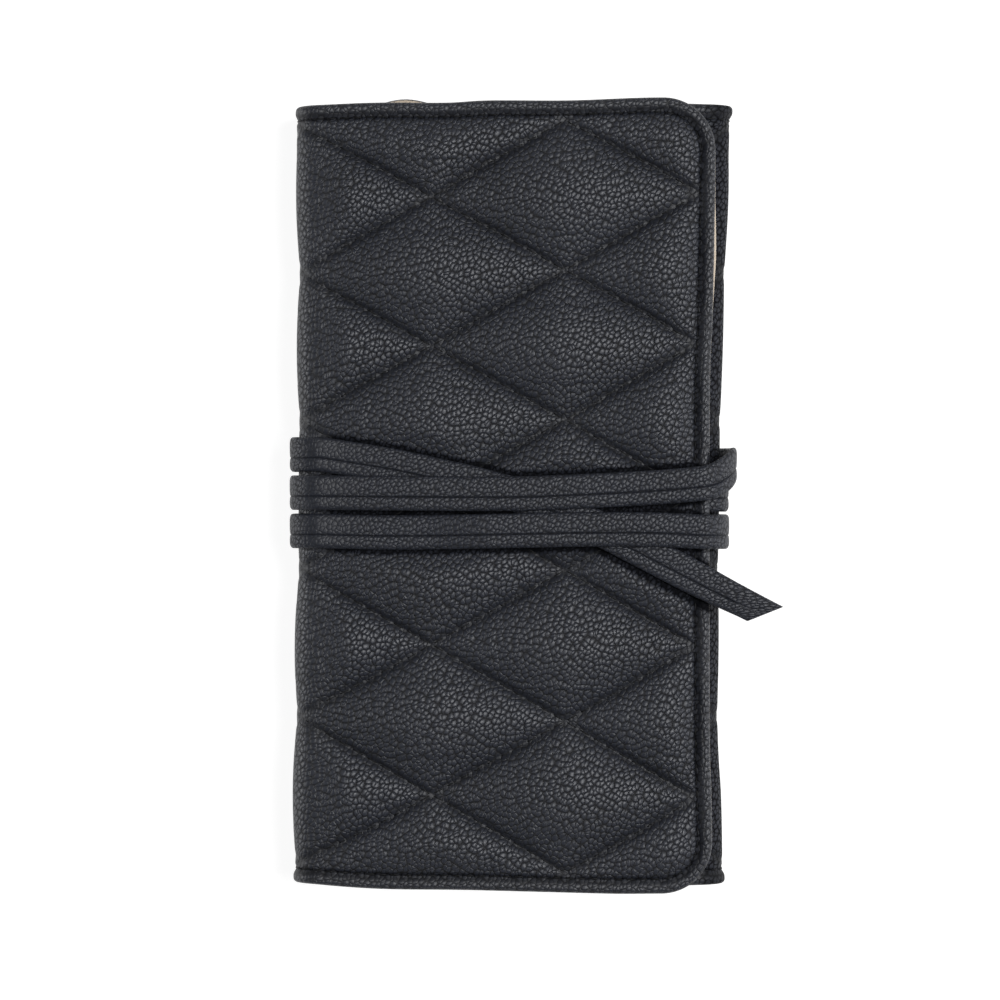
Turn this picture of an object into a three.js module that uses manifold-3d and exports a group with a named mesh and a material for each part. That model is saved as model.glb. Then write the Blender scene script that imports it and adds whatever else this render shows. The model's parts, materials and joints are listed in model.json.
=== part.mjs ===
// A quilted jewelry roll, folded shut and tied with a wound strap. Millimetres, +Z up.
// The back panel lies at the bottom. A flap folds over it from the left fold, and a half-width inner
// panel folds in under the flap from the right fold. +Y runs along the roll.
// The origin is at the back panel's lowest level, under the middle of the closed roll.
import * as THREE from "three";
import { mergeVertices } from "three/addons/utils/BufferGeometryUtils.js";
import Module from "manifold-3d";

// Driving dimensions of the shell
const rollLength = 216;
const foldSpacing = 117; // outside of the left fold to outside of the right fold
const flapWidth = 113.5; // left fold to the flap's free edge
const flapCorner = 12.4; // radius at the flap's two free corners
const innerWidth = 57; // right fold to the inner panel's free edge
const innerCorner = 6;
const foldRadius = 6; // outside radius where a panel turns into a fold

// Layers of a panel
const coverSkin = 1.2; // leather and wadding, squeezed flat in a sewn channel
const foamThickness = 2;
const innerFoamThickness = 1.2;
const liningThickness = 0.5;
const pocketThickness = 0.7;
const layerGap = 0.3; // between two layers that lie on each other
const panelClearance = 0.8; // between the inner panel and the flap that folds over it

// Quilting: diamonds, sewn through along both diagonals
const diamondsAcross = 1.5; // between the left fold and the flap's edge seam
const diamondLength = 41; // along the roll
const flapCrown = 2.2; // how far a diamond stands out above its sewn channels
const backCrown = 3.2;
const innerCrown = 0.8;
const crownSharpness = 2.4; // larger: flatter diamonds with steeper sides
const crownPlateau = 1.15; // above 1: the middle of a diamond is pressed flat
const channelSteps = 4; // facets from a crossing of the channels to the middle of a diamond
const seamInset = 4; // edge to edge seam
const rimHeight = 0.6; // the turned edge outside the edge seam
const rimSteps = [0, 0.15, 0.5]; // facets of that edge, as shares of the way to its seam
const seamFade = 12; // how far from a seam or fold the crown reaches its full height

// Tie strap: sewn into the flap's edge, wound round the roll and tucked under its own turns
const strapWidth = 9.5;
const strapThickness = 1.6;
const strapEase = 0.4; // eased edges
const strapClearance = 0.3; // to the leather that it lies on
const strapLayerGap = 0.55; // where one turn crosses over another
const strapRow = 10.5; // from one turn to the next along the left fold
const strapMiddle = 0.5; // the middle turn there, from the middle of the roll
const strapTopBend = 8; // radius of the bend past the flap's free edge
const anchorBend = 5; // radius of the bend where the strap leaves the edge seam
const anchorDepth = 3.4; // how far the strap's sewn end reaches into the edge seam
const strapCut = 3.8; // the slanted end: how far its tip leads and its heel trails
const flapBand = 26; // the strap and its tail press the flap's diamonds down this far from the middle
const flapBandHeight = 1.2; // what is left of those diamonds
const backBand = 17; // the same on the back, where the strap presses the diamonds flat
const backBandHeight = 0;
const bandRamp = 0.5; // rise of the diamonds for each mm outside that band

// Zip pocket on the back panel
const zipX = -37; // the zip's line, from the middle of the roll
const zipSlot = 9; // between the two pocket pieces, where the slider runs
const zipTapeWidth = 6;
const zipTapeThickness = 0.4;
const zipCoilWidth = 1.5;
const zipCoilHeight = 1.5;
const zipCoilGap = 1.4; // between the two rows of coil
const zipEndMargin = 13; // end of the roll to the end of the zip
const pocketEndMargin = 10; // end of the roll to the pocket
const stopLength = 2.2;
const sliderLength = 9;
const sliderWidth = 7.4;
const sliderPlate = 0.9;
const sliderFlange = 1.1;
const sliderPostWidth = 0.6;
const sliderPostLength = 2.5;
const sliderStandoff = 2.5; // slider to end stop when the zip is shut
const bailWidth = 1.2;
const bailLength = 5;
const bailHeight = 2.3;
const bailWall = 0.8;
const pullReach = 7.6; // pivot to the pull's tip
const pullWidth = 4.2;
const pullThickness = 0.9;
const pullArm = 0.95;
const runningGap = 0.35; // between the slider, its pull and what they pass

// Slip pocket in the flap, and ring rolls on the inner panel
const slipPocketMargin = 7; // edge seam, fold or end of the flap to the pocket
const slipPocketMouth = 52; // the pocket's open edge, from the middle of the roll
const bindingWidth = 4;
const ringRollCount = 4;
const ringRollDiameter = 7.2;
const ringRollGap = 0.8;
const ringRollLength = 120;
const ringRollRound = 1.5;
const ringRollClearance = 0.4; // to the pocket that the rolls fold down on
const ringPadThickness = 0.5;
const ringPadMargin = 4;

// Places that follow from the sizes
const halfLength = rollLength / 2;
const leftFold = -foldSpacing / 2;
const rightFold = foldSpacing / 2;
const flapEdge = leftFold + flapWidth;
const panelStart = foldRadius + layerGap; // fold's outside to the layers of a panel
const diamondHalfX = (flapWidth - seamInset) / (2 * diamondsAcross);
const diamondHalfY = diamondLength / 2;

// Levels of a panel whose outside faces down, from its sewn channels up.
function levelsFromChannel(channel, foam) {
  const coverInside = channel + coverSkin;
  const foamBottom = coverInside + layerGap;
  const liningBottom = foamBottom + foam + layerGap;
  return { channel, coverInside, foamBottom, liningBottom, liningTop: liningBottom + liningThickness };
}

// Levels of a panel whose outside faces up, from its lining up.
function levelsFromLining(liningBottom, foam) {
  const liningTop = liningBottom + liningThickness;
  const foamBottom = liningTop + layerGap;
  const coverInside = foamBottom + foam + layerGap;
  return { liningBottom, liningTop, foamBottom, coverInside, channel: coverInside + coverSkin };
}

const back = levelsFromChannel(backCrown, foamThickness);
const pocketBottom = back.liningTop + layerGap;
const pocketTop = pocketBottom + pocketThickness;
const ringRollBottom = pocketTop + ringRollClearance;
const ringPadBottom = ringRollBottom + ringRollDiameter + layerGap;
const inner = levelsFromLining(ringPadBottom + ringPadThickness + layerGap, innerFoamThickness);
const slipPocketBottom = inner.channel + innerCrown + panelClearance;
const flap = levelsFromLining(slipPocketBottom + pocketThickness + layerGap, foamThickness);

// Length that the pattern gains from one panel to the next, round the outside of a fold
const roundLeftFold = flap.channel - back.channel + (Math.PI - 4) * foldRadius;
const roundRightFold = inner.channel - back.channel + (Math.PI - 4) * foldRadius;

const finish = (color, roughness, metalness) =>
  new THREE.MeshStandardMaterial({ color, roughness, metalness });
const leather = () => finish(0x1f2023, 0.5, 0);
const foam = () => finish(0x8d8a84, 0.95, 0);
const lining = () => finish(0xd8cbb4, 0.9, 0);
const pocketCloth = () => finish(0xcfc0a6, 0.9, 0);
const zipCloth = () => finish(0x26262a, 0.85, 0);
const zipNylon = () => finish(0x2b2b2f, 0.5, 0);
const zipMetal = () => finish(0xb79a5b, 0.3, 1);

const wasm = await Module();
wasm.setup();

function toSolid(geometry) {
  const bare = geometry.clone();
  bare.deleteAttribute("normal");
  bare.deleteAttribute("uv");
  const merged = mergeVertices(bare, 1e-4);
  return new wasm.Manifold(
    new wasm.Mesh({
      numProp: 3,
      vertProperties: new Float32Array(merged.attributes.position.array),
      triVerts: new Uint32Array(merged.index.array),
    }),
  );
}

function closedGeometry(points, faces) {
  const geometry = new THREE.BufferGeometry();
  geometry.setAttribute("position", new THREE.Float32BufferAttribute(points, 3));
  geometry.setIndex(faces);
  geometry.computeVertexNormals();
  return geometry;
}

// Several overlapping shapes as one solid.
function joined(...shapes) {
  const solid = shapes.map(toSolid).reduce((whole, next) => whole.add(next));
  const { vertProperties, triVerts } = solid.getMesh();
  return closedGeometry(Array.from(vertProperties), Array.from(triVerts));
}

function boxBetween([x0, y0, z0], [x1, y1, z1]) {
  const box = new THREE.BoxGeometry(x1 - x0, y1 - y0, z1 - z0);
  return box.translate((x0 + x1) / 2, (y0 + y1) / 2, (z0 + z1) / 2);
}

function named(name, geometry, material) {
  const mesh = new THREE.Mesh(geometry, material);
  mesh.name = name;
  return mesh;
}

const extruded = (outline, depth) =>
  new THREE.ExtrudeGeometry(outline, { depth, bevelEnabled: false, curveSegments: 8 });

// A flat layer with square corners at x0 and corners of the given radius at x1.
function sheet(x0, x1, y0, y1, bottom, thickness, corner) {
  const turn = Math.sign(x1 - x0);
  const bendX = x1 - turn * corner;
  const outward = turn > 0 ? 0 : Math.PI;
  const outline = new THREE.Shape();
  outline.moveTo(x0, y0);
  if (corner > 0) {
    outline.lineTo(bendX, y0);
    outline.absarc(bendX, y0 + corner, corner, -Math.PI / 2, -outward, turn < 0);
    outline.absarc(bendX, y1 - corner, corner, outward, Math.PI / 2, turn < 0);
  } else {
    outline.lineTo(x1, y0);
    outline.lineTo(x1, y1);
  }
  outline.lineTo(x0, y1);
  return extruded(outline, thickness).translate(0, 0, bottom);
}

// 0 on a sewn line, which lies at every odd number, and 1 midway between two lines.
const fromSewnLine = (t) => Math.abs(t - 2 * Math.floor(t / 2) - 1);
const swell = (t) => 1 - Math.pow(1 - Math.min(Math.max(t, 0), 1), crownSharpness);

// Height of the diamonds, from 0 to 1, at u round the outside from the left fold and v along the roll.
function diamondAt(u, v) {
  const rising = fromSewnLine(u / diamondHalfX - v / diamondHalfY);
  const falling = fromSewnLine(u / diamondHalfX + v / diamondHalfY);
  return Math.min(1, crownPlateau * swell(rising) * swell(falling));
}

// Grid lines of a quilted panel: its ends, its edge seams and the steps of the diamonds between them.
function gridLines(start, end, step, phase, seamAtStart, seamAtEnd) {
  const first = seamAtStart ? start + seamInset : start;
  const last = seamAtEnd ? end - seamInset : end;
  const lines = [first, last];
  for (let k = Math.ceil((first + phase) / step); k * step - phase < last; k++) {
    const line = k * step - phase;
    if (line - first > step / 4 && last - line > step / 4) lines.push(line);
  }
  if (seamAtStart) lines.push(...rimSteps.map((share) => start + share * seamInset));
  if (seamAtEnd) lines.push(...rimSteps.map((share) => end - share * seamInset));
  return lines.sort((a, b) => a - b);
}

// A quilted cover on the XY plane: x from the fold, y along the roll, the diamonds standing up above the
// sewn channels at z = 0, and a flat inside at z = -coverSkin. phase is how far round the outside x = 0
// lies from the left fold. A free edge has an edge seam, a turned rim and rounded corners.
function quiltedCover({ end, phase, crown, band, bandHeight, freeEdge, corner }) {
  const start = panelStart;
  const columns = gridLines(start, end, diamondHalfX / channelSteps, phase, false, freeEdge);
  const rows = gridLines(-halfLength, halfLength, diamondHalfY / channelSteps, 0, true, true);

  function placeX(u, v) {
    const past = Math.max(Math.abs(v) - (halfLength - corner), 0);
    const cut = corner - Math.sqrt(Math.max(corner * corner - past * past, 0));
    return start + ((u - start) * (end - start - cut)) / (end - start);
  }

  function heightAt(u, v) {
    const edge = Math.min(freeEdge ? end - u : Infinity, halfLength - Math.abs(v));
    if (edge < seamInset) return rimHeight * Math.sin((Math.PI * edge) / seamInset);
    const fold = freeEdge ? u - start : Math.min(u - start, end - u);
    const settled = swell((edge - seamInset) / seamFade) * swell(fold / seamFade);
    const pressed = bandHeight + Math.max(0, Math.abs(v) - band) * bandRamp;
    return Math.min(crown * diamondAt(placeX(u, v) + phase, v) * settled, pressed);
  }

  // How far the middle of a square's diagonal lies off the quilted surface.
  function misfit(u0, v0, u1, v1) {
    const middle = heightAt((u0 + u1) / 2, (v0 + v1) / 2);
    return Math.abs(middle - (heightAt(u0, v0) + heightAt(u1, v1)) / 2);
  }

  const points = columns.flatMap((u) => rows.flatMap((v) => [placeX(u, v), v, heightAt(u, v)]));
  const faces = [];
  const at = (i, j) => i * rows.length + j;
  const lastColumn = columns.length - 1;
  const lastRow = rows.length - 1;
  for (let i = 0; i < lastColumn; i++) {
    for (let j = 0; j < lastRow; j++) {
      const [a, b, c, d] = [at(i, j), at(i + 1, j), at(i + 1, j + 1), at(i, j + 1)];
      const rising = misfit(columns[i], rows[j], columns[i + 1], rows[j + 1]);
      const falling = misfit(columns[i + 1], rows[j], columns[i], rows[j + 1]);
      if (rising <= falling) faces.push(a, b, c, a, c, d);
      else faces.push(a, b, d, b, c, d);
    }
  }

  // The rim runs anticlockwise, and the inside repeats it at the depth of the skin.
  const rim = [];
  for (let i = 0; i < lastColumn; i++) rim.push(at(i, 0));
  for (let j = 0; j < lastRow; j++) rim.push(at(lastColumn, j));
  for (let i = lastColumn; i > 0; i--) rim.push(at(i, lastRow));
  for (let j = lastRow; j > 0; j--) rim.push(at(0, j));
  const inside = points.length / 3;
  const outline = rim.map((n) => new THREE.Vector2(points[3 * n], points[3 * n + 1]));
  outline.forEach(({ x, y }) => points.push(x, y, -coverSkin));
  rim.forEach((n, k) => {
    const next = (k + 1) % rim.length;
    faces.push(n, inside + k, inside + next, n, inside + next, rim[next]);
  });
  THREE.ShapeUtils.triangulateShape(outline, []).forEach(([a, b, c]) => {
    faces.push(inside + a, inside + c, inside + b);
  });
  return closedGeometry(points, faces);
}

// A channel that turns from the back panel to the panel above it, on the left (-1) or right (1). inset is
// how far it lies inside the outside face of the fold, and top is the level of the upper panel's channels.
function foldChannel(side, top, inset, thickness) {
  const bend = side * (foldSpacing / 2 - foldRadius);
  const outer = foldRadius - inset;
  const bore = outer - thickness;
  const low = back.channel + foldRadius;
  const high = top - foldRadius;
  const outward = side > 0 ? 0 : Math.PI;
  const outline = new THREE.Shape();
  outline.absarc(bend, low, outer, -Math.PI / 2, -outward, side < 0);
  outline.absarc(bend, high, outer, outward, Math.PI / 2, side < 0);
  outline.absarc(bend, high, bore, Math.PI / 2, outward, side > 0);
  outline.absarc(bend, low, bore, -outward, -Math.PI / 2, side > 0);
  return extruded(outline, rollLength).rotateX(Math.PI / 2).translate(0, halfLength, 0);
}

// Both layers of a fold: the leather outside and the lining inside.
function fold(name, side, top) {
  const cover = foldChannel(side, top, 0, coverSkin);
  const inside = foldChannel(side, top, coverSkin + layerGap, liningThickness);
  return [named(`${name}_cover`, cover, leather()), named(`${name}_lining`, inside, lining())];
}

// Back panel, with its zip pocket
function backPanel() {
  const left = leftFold + panelStart;
  const right = rightFold - panelStart;
  const end = halfLength - seamInset;
  const cover = named(
    "back_cover",
    quiltedCover({
      end: foldSpacing - panelStart,
      phase: roundLeftFold,
      crown: backCrown,
      band: backBand,
      bandHeight: backBandHeight,
      freeEdge: false,
      corner: 0,
    }),
    leather(),
  );
  cover.rotation.x = Math.PI;
  cover.position.set(leftFold, 0, back.channel);
  const padding = sheet(left, right, -end, end, back.foamBottom, foamThickness, 0);
  const inside = sheet(left, right, -halfLength, halfLength, back.liningBottom, liningThickness, 0);
  return [
    cover,
    named("back_foam", padding, foam()),
    named("back_lining", inside, lining()),
    ...zipPocket(),
  ];
}

const zipEnd = halfLength - zipEndMargin;
const coilEnd = zipEnd - stopLength - layerGap;
const tapeBottom = pocketTop + layerGap;
const tapeTop = tapeBottom + zipTapeThickness;
const coilBottom = tapeTop + layerGap;
const coilTop = coilBottom + zipCoilHeight;
const coilOutside = zipCoilGap / 2 + zipCoilWidth;

function zipPocket() {
  const end = halfLength - pocketEndMargin;
  const left = leftFold + panelStart;
  const right = rightFold - panelStart;
  const strip = sheet(zipX - zipSlot / 2, left, -end, end, pocketBottom, pocketThickness, 0);
  const panel = sheet(zipX + zipSlot / 2, right, -end, end, pocketBottom, pocketThickness, 0);
  const pieces = [
    named("zip_pocket_strip", strip, pocketCloth()),
    named("zip_pocket_panel", panel, pocketCloth()),
  ];
  for (const [name, side] of [["left", -1], ["right", 1]]) {
    const near = zipX + (side * zipCoilGap) / 2;
    const tape = sheet(near, near + side * zipTapeWidth, -zipEnd, zipEnd, tapeBottom, zipTapeThickness, 0);
    const coil = sheet(near, near + side * zipCoilWidth, -coilEnd, coilEnd, coilBottom, zipCoilHeight, 0);
    pieces.push(named(`zip_tape_${name}`, tape, zipCloth()), named(`zip_coil_${name}`, coil, zipNylon()));
  }
  for (const [name, side] of [["top", 1], ["bottom", -1]]) {
    const y = side * (zipEnd - stopLength / 2);
    const low = [zipX - coilOutside, y - stopLength / 2, coilBottom];
    const high = [zipX + coilOutside, y + stopLength / 2, coilTop];
    pieces.push(named(`zip_stop_${name}`, boxBetween(low, high), zipMetal()));
  }
  return pieces;
}

const sliderY = zipEnd - stopLength - sliderStandoff - sliderLength / 2;
const sliderTop = coilTop + layerGap + sliderPlate;
const pullPivot = sliderTop + runningGap + pullThickness / 2;

// The slider grips both coils from above and below. Its two plates meet in a post between the coils.
function zipSlider() {
  const halfWidth = sliderWidth / 2;
  const halfSlider = sliderLength / 2;
  const roof = sliderTop - sliderPlate;
  const lower = boxBetween([-halfWidth, -halfSlider, pocketBottom], [halfWidth, halfSlider, pocketTop]);
  const upper = boxBetween([-halfWidth, -halfSlider, roof], [halfWidth, halfSlider, sliderTop]);
  const post = boxBetween(
    [-sliderPostWidth / 2, -sliderPostLength / 2, pocketTop - pocketThickness / 2],
    [sliderPostWidth / 2, sliderPostLength / 2, roof + sliderPlate / 2],
  );
  const flanges = [-1, 1].map((side) => {
    const edge = side * halfWidth;
    const near = edge - side * sliderFlange;
    const low = [Math.min(edge, near), -halfSlider, coilBottom];
    return boxBetween(low, [Math.max(edge, near), halfSlider, roof + sliderPlate / 2]);
  });
  const bailTop = sliderTop + bailHeight;
  const bar = boxBetween(
    [-bailWidth / 2, -bailLength / 2, bailTop - bailWall],
    [bailWidth / 2, bailLength / 2, bailTop],
  );
  const legs = [-1, 1].map((side) => {
    const far = (side * bailLength) / 2;
    const near = far - side * bailWall;
    const low = [-bailWidth / 2, Math.min(far, near), sliderTop - sliderPlate / 2];
    return boxBetween(low, [bailWidth / 2, Math.max(far, near), bailTop]);
  });
  const slider = named("zip_slider", joined(lower, upper, post, ...flanges, bar, ...legs), zipMetal());
  slider.position.set(zipX, sliderY, 0);
  return slider;
}

// The pull hangs on the slider's bail by a crossbar between two arms.
function zipPull() {
  const half = pullThickness / 2;
  const armInside = bailWidth / 2 + runningGap;
  const armOutside = armInside + pullArm;
  const eye = Math.hypot(bailLength / 2, bailHeight) + runningGap;
  const crossbar = boxBetween([-armOutside, -half, -half], [armOutside, half, half]);
  const arms = [-1, 1].map((side) => {
    const low = [Math.min(side * armInside, side * armOutside), -eye - half, -half];
    return boxBetween(low, [Math.max(side * armInside, side * armOutside), half, half]);
  });
  const tab = boxBetween([-pullWidth / 2, -pullReach, -half], [pullWidth / 2, -eye, half]);
  const pull = named("zip_pull", joined(crossbar, ...arms, tab), zipMetal());
  pull.position.set(zipX, sliderY, pullPivot);
  return pull;
}

// Flap, with its slip pocket
function flapPanel() {
  const left = leftFold + panelStart;
  const end = halfLength - seamInset;
  const cover = named(
    "flap_cover",
    quiltedCover({
      end: flapWidth,
      phase: 0,
      crown: flapCrown,
      band: flapBand,
      bandHeight: flapBandHeight,
      freeEdge: true,
      corner: flapCorner,
    }),
    leather(),
  );
  cover.position.set(leftFold, 0, flap.channel);
  const foamCorner = flapCorner - seamInset;
  const padding = sheet(left, flapEdge - seamInset, -end, end, flap.foamBottom, foamThickness, foamCorner);
  const ends = [-halfLength, halfLength];
  const inside = sheet(left, flapEdge, ...ends, flap.liningBottom, liningThickness, flapCorner);
  const pocketLeft = left + slipPocketMargin;
  const pocketRight = flapEdge - seamInset - slipPocketMargin;
  const pocketEnd = slipPocketMargin - end;
  const bindingEnd = slipPocketMouth - bindingWidth;
  const pocket = sheet(
    pocketLeft,
    pocketRight,
    pocketEnd,
    bindingEnd - layerGap,
    slipPocketBottom,
    pocketThickness,
    0,
  );
  const binding = sheet(
    pocketLeft,
    pocketRight,
    bindingEnd,
    slipPocketMouth,
    slipPocketBottom,
    pocketThickness,
    0,
  );
  return [
    cover,
    named("flap_foam", padding, foam()),
    named("flap_lining", inside, lining()),
    named("slip_pocket", pocket, pocketCloth()),
    named("slip_pocket_binding", binding, leather()),
  ];
}

// Inner panel, with its ring rolls
function innerPanel() {
  const right = rightFold - panelStart;
  const edge = rightFold - innerWidth;
  const end = halfLength - seamInset;
  const cover = named(
    "inner_cover",
    quiltedCover({
      end: innerWidth,
      phase: roundLeftFold + foldSpacing + roundRightFold,
      crown: innerCrown,
      band: 0,
      bandHeight: innerCrown,
      freeEdge: true,
      corner: innerCorner,
    }),
    leather(),
  );
  cover.rotation.z = Math.PI;
  cover.position.set(rightFold, 0, inner.channel);
  const foamCorner = innerCorner - seamInset;
  const foamEdge = edge + seamInset;
  const padding = sheet(right, foamEdge, -end, end, inner.foamBottom, innerFoamThickness, foamCorner);
  const ends = [-halfLength, halfLength];
  const inside = sheet(right, edge, ...ends, inner.liningBottom, liningThickness, innerCorner);
  const pieces = [cover, named("inner_foam", padding, foam()), named("inner_lining", inside, lining())];

  const rowPitch = ringRollDiameter + ringRollGap;
  const rowsWidth = ringRollCount * rowPitch - ringRollGap;
  const middle = (right + edge) / 2;
  const padX = rowsWidth / 2 + ringPadMargin;
  const padY = ringRollLength / 2 + ringPadMargin;
  const pad = sheet(middle - padX, middle + padX, -padY, padY, ringPadBottom, ringPadThickness, 0);
  pieces.push(named("ring_pad", pad, lining()));
  for (let k = 0; k < ringRollCount; k++) {
    const roll = named(`ring_roll_${k + 1}`, ringRoll(), lining());
    roll.position.x = middle - rowsWidth / 2 + ringRollDiameter / 2 + k * rowPitch;
    roll.position.z = ringRollBottom + ringRollDiameter / 2;
    pieces.push(roll);
  }
  return pieces;
}

// One stuffed roll along Y, with rounded ends.
function ringRoll() {
  const radius = ringRollDiameter / 2;
  const end = ringRollLength / 2;
  const profile = new THREE.Path();
  profile.moveTo(0, -end);
  profile.lineTo(radius - ringRollRound, -end);
  profile.absarc(radius - ringRollRound, ringRollRound - end, ringRollRound, -Math.PI / 2, 0, false);
  profile.absarc(radius - ringRollRound, end - ringRollRound, ringRollRound, 0, Math.PI / 2, false);
  profile.lineTo(0, end);
  return new THREE.LatheGeometry(profile.getPoints(3), 14);
}

// Tie strap
const strapPitch = strapThickness + strapLayerGap; // from one layer of strap to the next
const strapSeat = strapClearance + strapThickness / 2; // leather to the middle of the strap
const strapBend = foldRadius + strapSeat;
const strapBottom = back.channel - backBandHeight - strapSeat;
const strapTop = flap.channel + flapBandHeight + strapSeat;
const strapLeft = leftFold - strapSeat;
const strapRight = rightFold + strapSeat;
const anchorLevel = (flap.liningTop + flap.coverInside) / 2;

// Where the three turns run across the flap from the left to the right, x and y. The third passes under
// the other two to its free tip.
const firstRoute = [
  [-30, -10.4],
  [0, -9.9],
  [22, -9.5],
  [40, -9.6],
];
const secondRoute = [
  [-30, 0.3],
  [0, 0.2],
  [15, 0.7],
  [30, 1.4],
  [43, 2.2],
];
const thirdRoute = [
  [-42, 9.4],
  [-31, 7.5],
  [-20, 5.1],
  [-9, 2.6],
  [8, -2.3],
  [24, -9.4],
  [35, -15],
  [48, -21.8],
  [58, -27],
  [68.5, -32.3],
];
const firstRight = -10.2; // where the first and the second turn go down the right fold
const secondRight = 3;
const secondSlant = 5.2; // how far the second turn climbs on its way down there
const firstLift = [-24, -6]; // where the first turn climbs over the third on the flap
const thirdDrop = [-12, 10]; // where the third turn comes down beside the first on the back

const ramp = THREE.MathUtils.smoothstep;

// The strap's middle line, with the direction that its flat face looks in. A layer of 1 lies over a layer
// of 0 on the same turn round the roll.
function strapLine() {
  const line = [];

  function add(x, y, z, nx, nz, layer) {
    const lift = layer * strapPitch;
    const point = new THREE.Vector3(x + nx * lift, y, z + nz * lift);
    line.push({ point, normal: new THREE.Vector3(nx, 0, nz) });
  }

  function bend(x, z, radius, from, [yFrom, yTo], layerFrom, layerTo) {
    const steps = 6;
    for (let k = 0; k <= steps; k++) {
      const angle = from - ((k / steps) * Math.PI) / 2;
      const [nx, nz] = [Math.cos(angle), Math.sin(angle)];
      const ease = ramp(k / steps, 0, 1);
      const layer = THREE.MathUtils.lerp(layerFrom, layerTo, ease);
      const y = THREE.MathUtils.lerp(yFrom, yTo, ease);
      add(x + radius * nx, y, z + radius * nz, nx, nz, layer);
    }
  }

  const bendRight = strapRight - strapBend;
  const bendLeft = strapLeft + strapBend;
  const flapRight = strapRight - strapTopBend;

  function downRight(y, layerFrom, layerTo) {
    bend(bendRight, strapBottom + strapBend, strapBend, 0, [y, y], layerFrom, layerTo);
  }

  function upLeft(y, layerFrom, layerTo) {
    bend(bendLeft, strapBottom + strapBend, strapBend, -Math.PI / 2, [y, y], layerFrom, 0);
    bend(bendLeft, strapTop - strapBend, strapBend, Math.PI, [y, y], 0, layerTo);
  }

  function overFlapEdge(ends, layerFrom, layerTo) {
    bend(flapRight, strapTop - strapTopBend, strapTopBend, Math.PI / 2, ends, layerFrom, layerTo);
  }

  function acrossBack(yFrom, yTo, layerAt) {
    const steps = 10;
    for (let k = 1; k < steps; k++) {
      const x = THREE.MathUtils.lerp(bendRight, bendLeft, k / steps);
      const y = THREE.MathUtils.lerp(yFrom, yTo, ramp(k / steps, 0, 1));
      add(x, y, strapBottom, 0, -1, layerAt(x));
    }
  }

  function acrossFlap(route, steps, layerAt) {
    const curve = new THREE.CatmullRomCurve3(route.map(([x, y]) => new THREE.Vector3(x, y, 0)));
    for (let k = 1; k < steps; k++) {
      const { x, y } = curve.getPointAt(k / steps);
      add(x, y, strapTop, 0, 1, layerAt(x));
    }
  }

  // The sewn end, out of the flap's edge seam
  add(flapEdge - anchorDepth, 0, anchorLevel, 0, 1, 0);
  bend(strapRight - anchorBend, anchorLevel - anchorBend, anchorBend, Math.PI / 2, [0, 0], 0, 0);

  downRight(0, 0, 0);
  const [low, middle, high] = [-strapRow, 0, strapRow].map((row) => strapMiddle + row);
  acrossBack(0, low, () => 0);
  upLeft(low, 0, 0);
  const first = [[bendLeft, low], ...firstRoute, [flapRight, firstRight]];
  acrossFlap(first, 14, (x) => ramp(x, ...firstLift));
  overFlapEdge([firstRight, firstRight], 1, 0);

  downRight(firstRight, 0, 1);
  acrossBack(firstRight, middle, () => 1);
  upLeft(middle, 1, 1);
  acrossFlap([[bendLeft, middle], ...secondRoute, [flapRight, secondRight]], 14, () => 1);
  const slanted = secondRight + secondSlant;
  overFlapEdge([secondRight, slanted], 1, 1);

  downRight(slanted, 1, 1);
  acrossBack(slanted, high, (x) => ramp(x, ...thirdDrop));
  upLeft(high, 0, 0);
  acrossFlap([[bendLeft, high], ...thirdRoute], 24, () => 0);
  const [tipX, tipY] = thirdRoute.at(-1);
  add(tipX, tipY, strapTop, 0, 1, 0);
  return line;
}

// The strap's directions at each point: along it, across its width and out of its flat face.
function strapFrames() {
  const line = strapLine();
  return line.map(({ point, normal }, k) => {
    const before = line[Math.max(k - 1, 0)].point;
    const after = line[Math.min(k + 1, line.length - 1)].point;
    const along = after.clone().sub(before).normalize();
    const across = along.clone().cross(normal).normalize();
    return { point, along, across, out: across.clone().cross(along) };
  });
}

// A flat strap with eased edges, swept along its frames in one piece, its far end cut on the slant.
function sweptStrap(frames) {
  const width = strapWidth / 2;
  const thick = strapThickness / 2;
  const section = [
    [width - strapEase, -thick],
    [width, strapEase - thick],
    [width, thick - strapEase],
    [width - strapEase, thick],
    [strapEase - width, thick],
    [-width, thick - strapEase],
    [-width, strapEase - thick],
    [strapEase - width, -thick],
  ];
  const sides = section.length;
  const end = (frames.length - 1) * sides;
  const points = frames.flatMap(({ point, along, across, out }, ring) => {
    const slant = ring * sides === end ? strapCut / width : 0;
    return section.flatMap(([w, t]) => {
      const corner = point.clone().addScaledVector(across, w).addScaledVector(out, t);
      return corner.addScaledVector(along, -slant * w).toArray();
    });
  });
  const faces = [];
  for (let ring = 0; ring < end; ring += sides) {
    for (let k = 0; k < sides; k++) {
      const [a, b] = [ring + k, ring + ((k + 1) % sides)];
      faces.push(a, a + sides, b, b, a + sides, b + sides);
    }
  }
  for (let k = 1; k + 1 < sides; k++) {
    faces.push(0, k, k + 1, end, end + k + 1, end + k);
  }
  return closedGeometry(points, faces);
}

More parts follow.
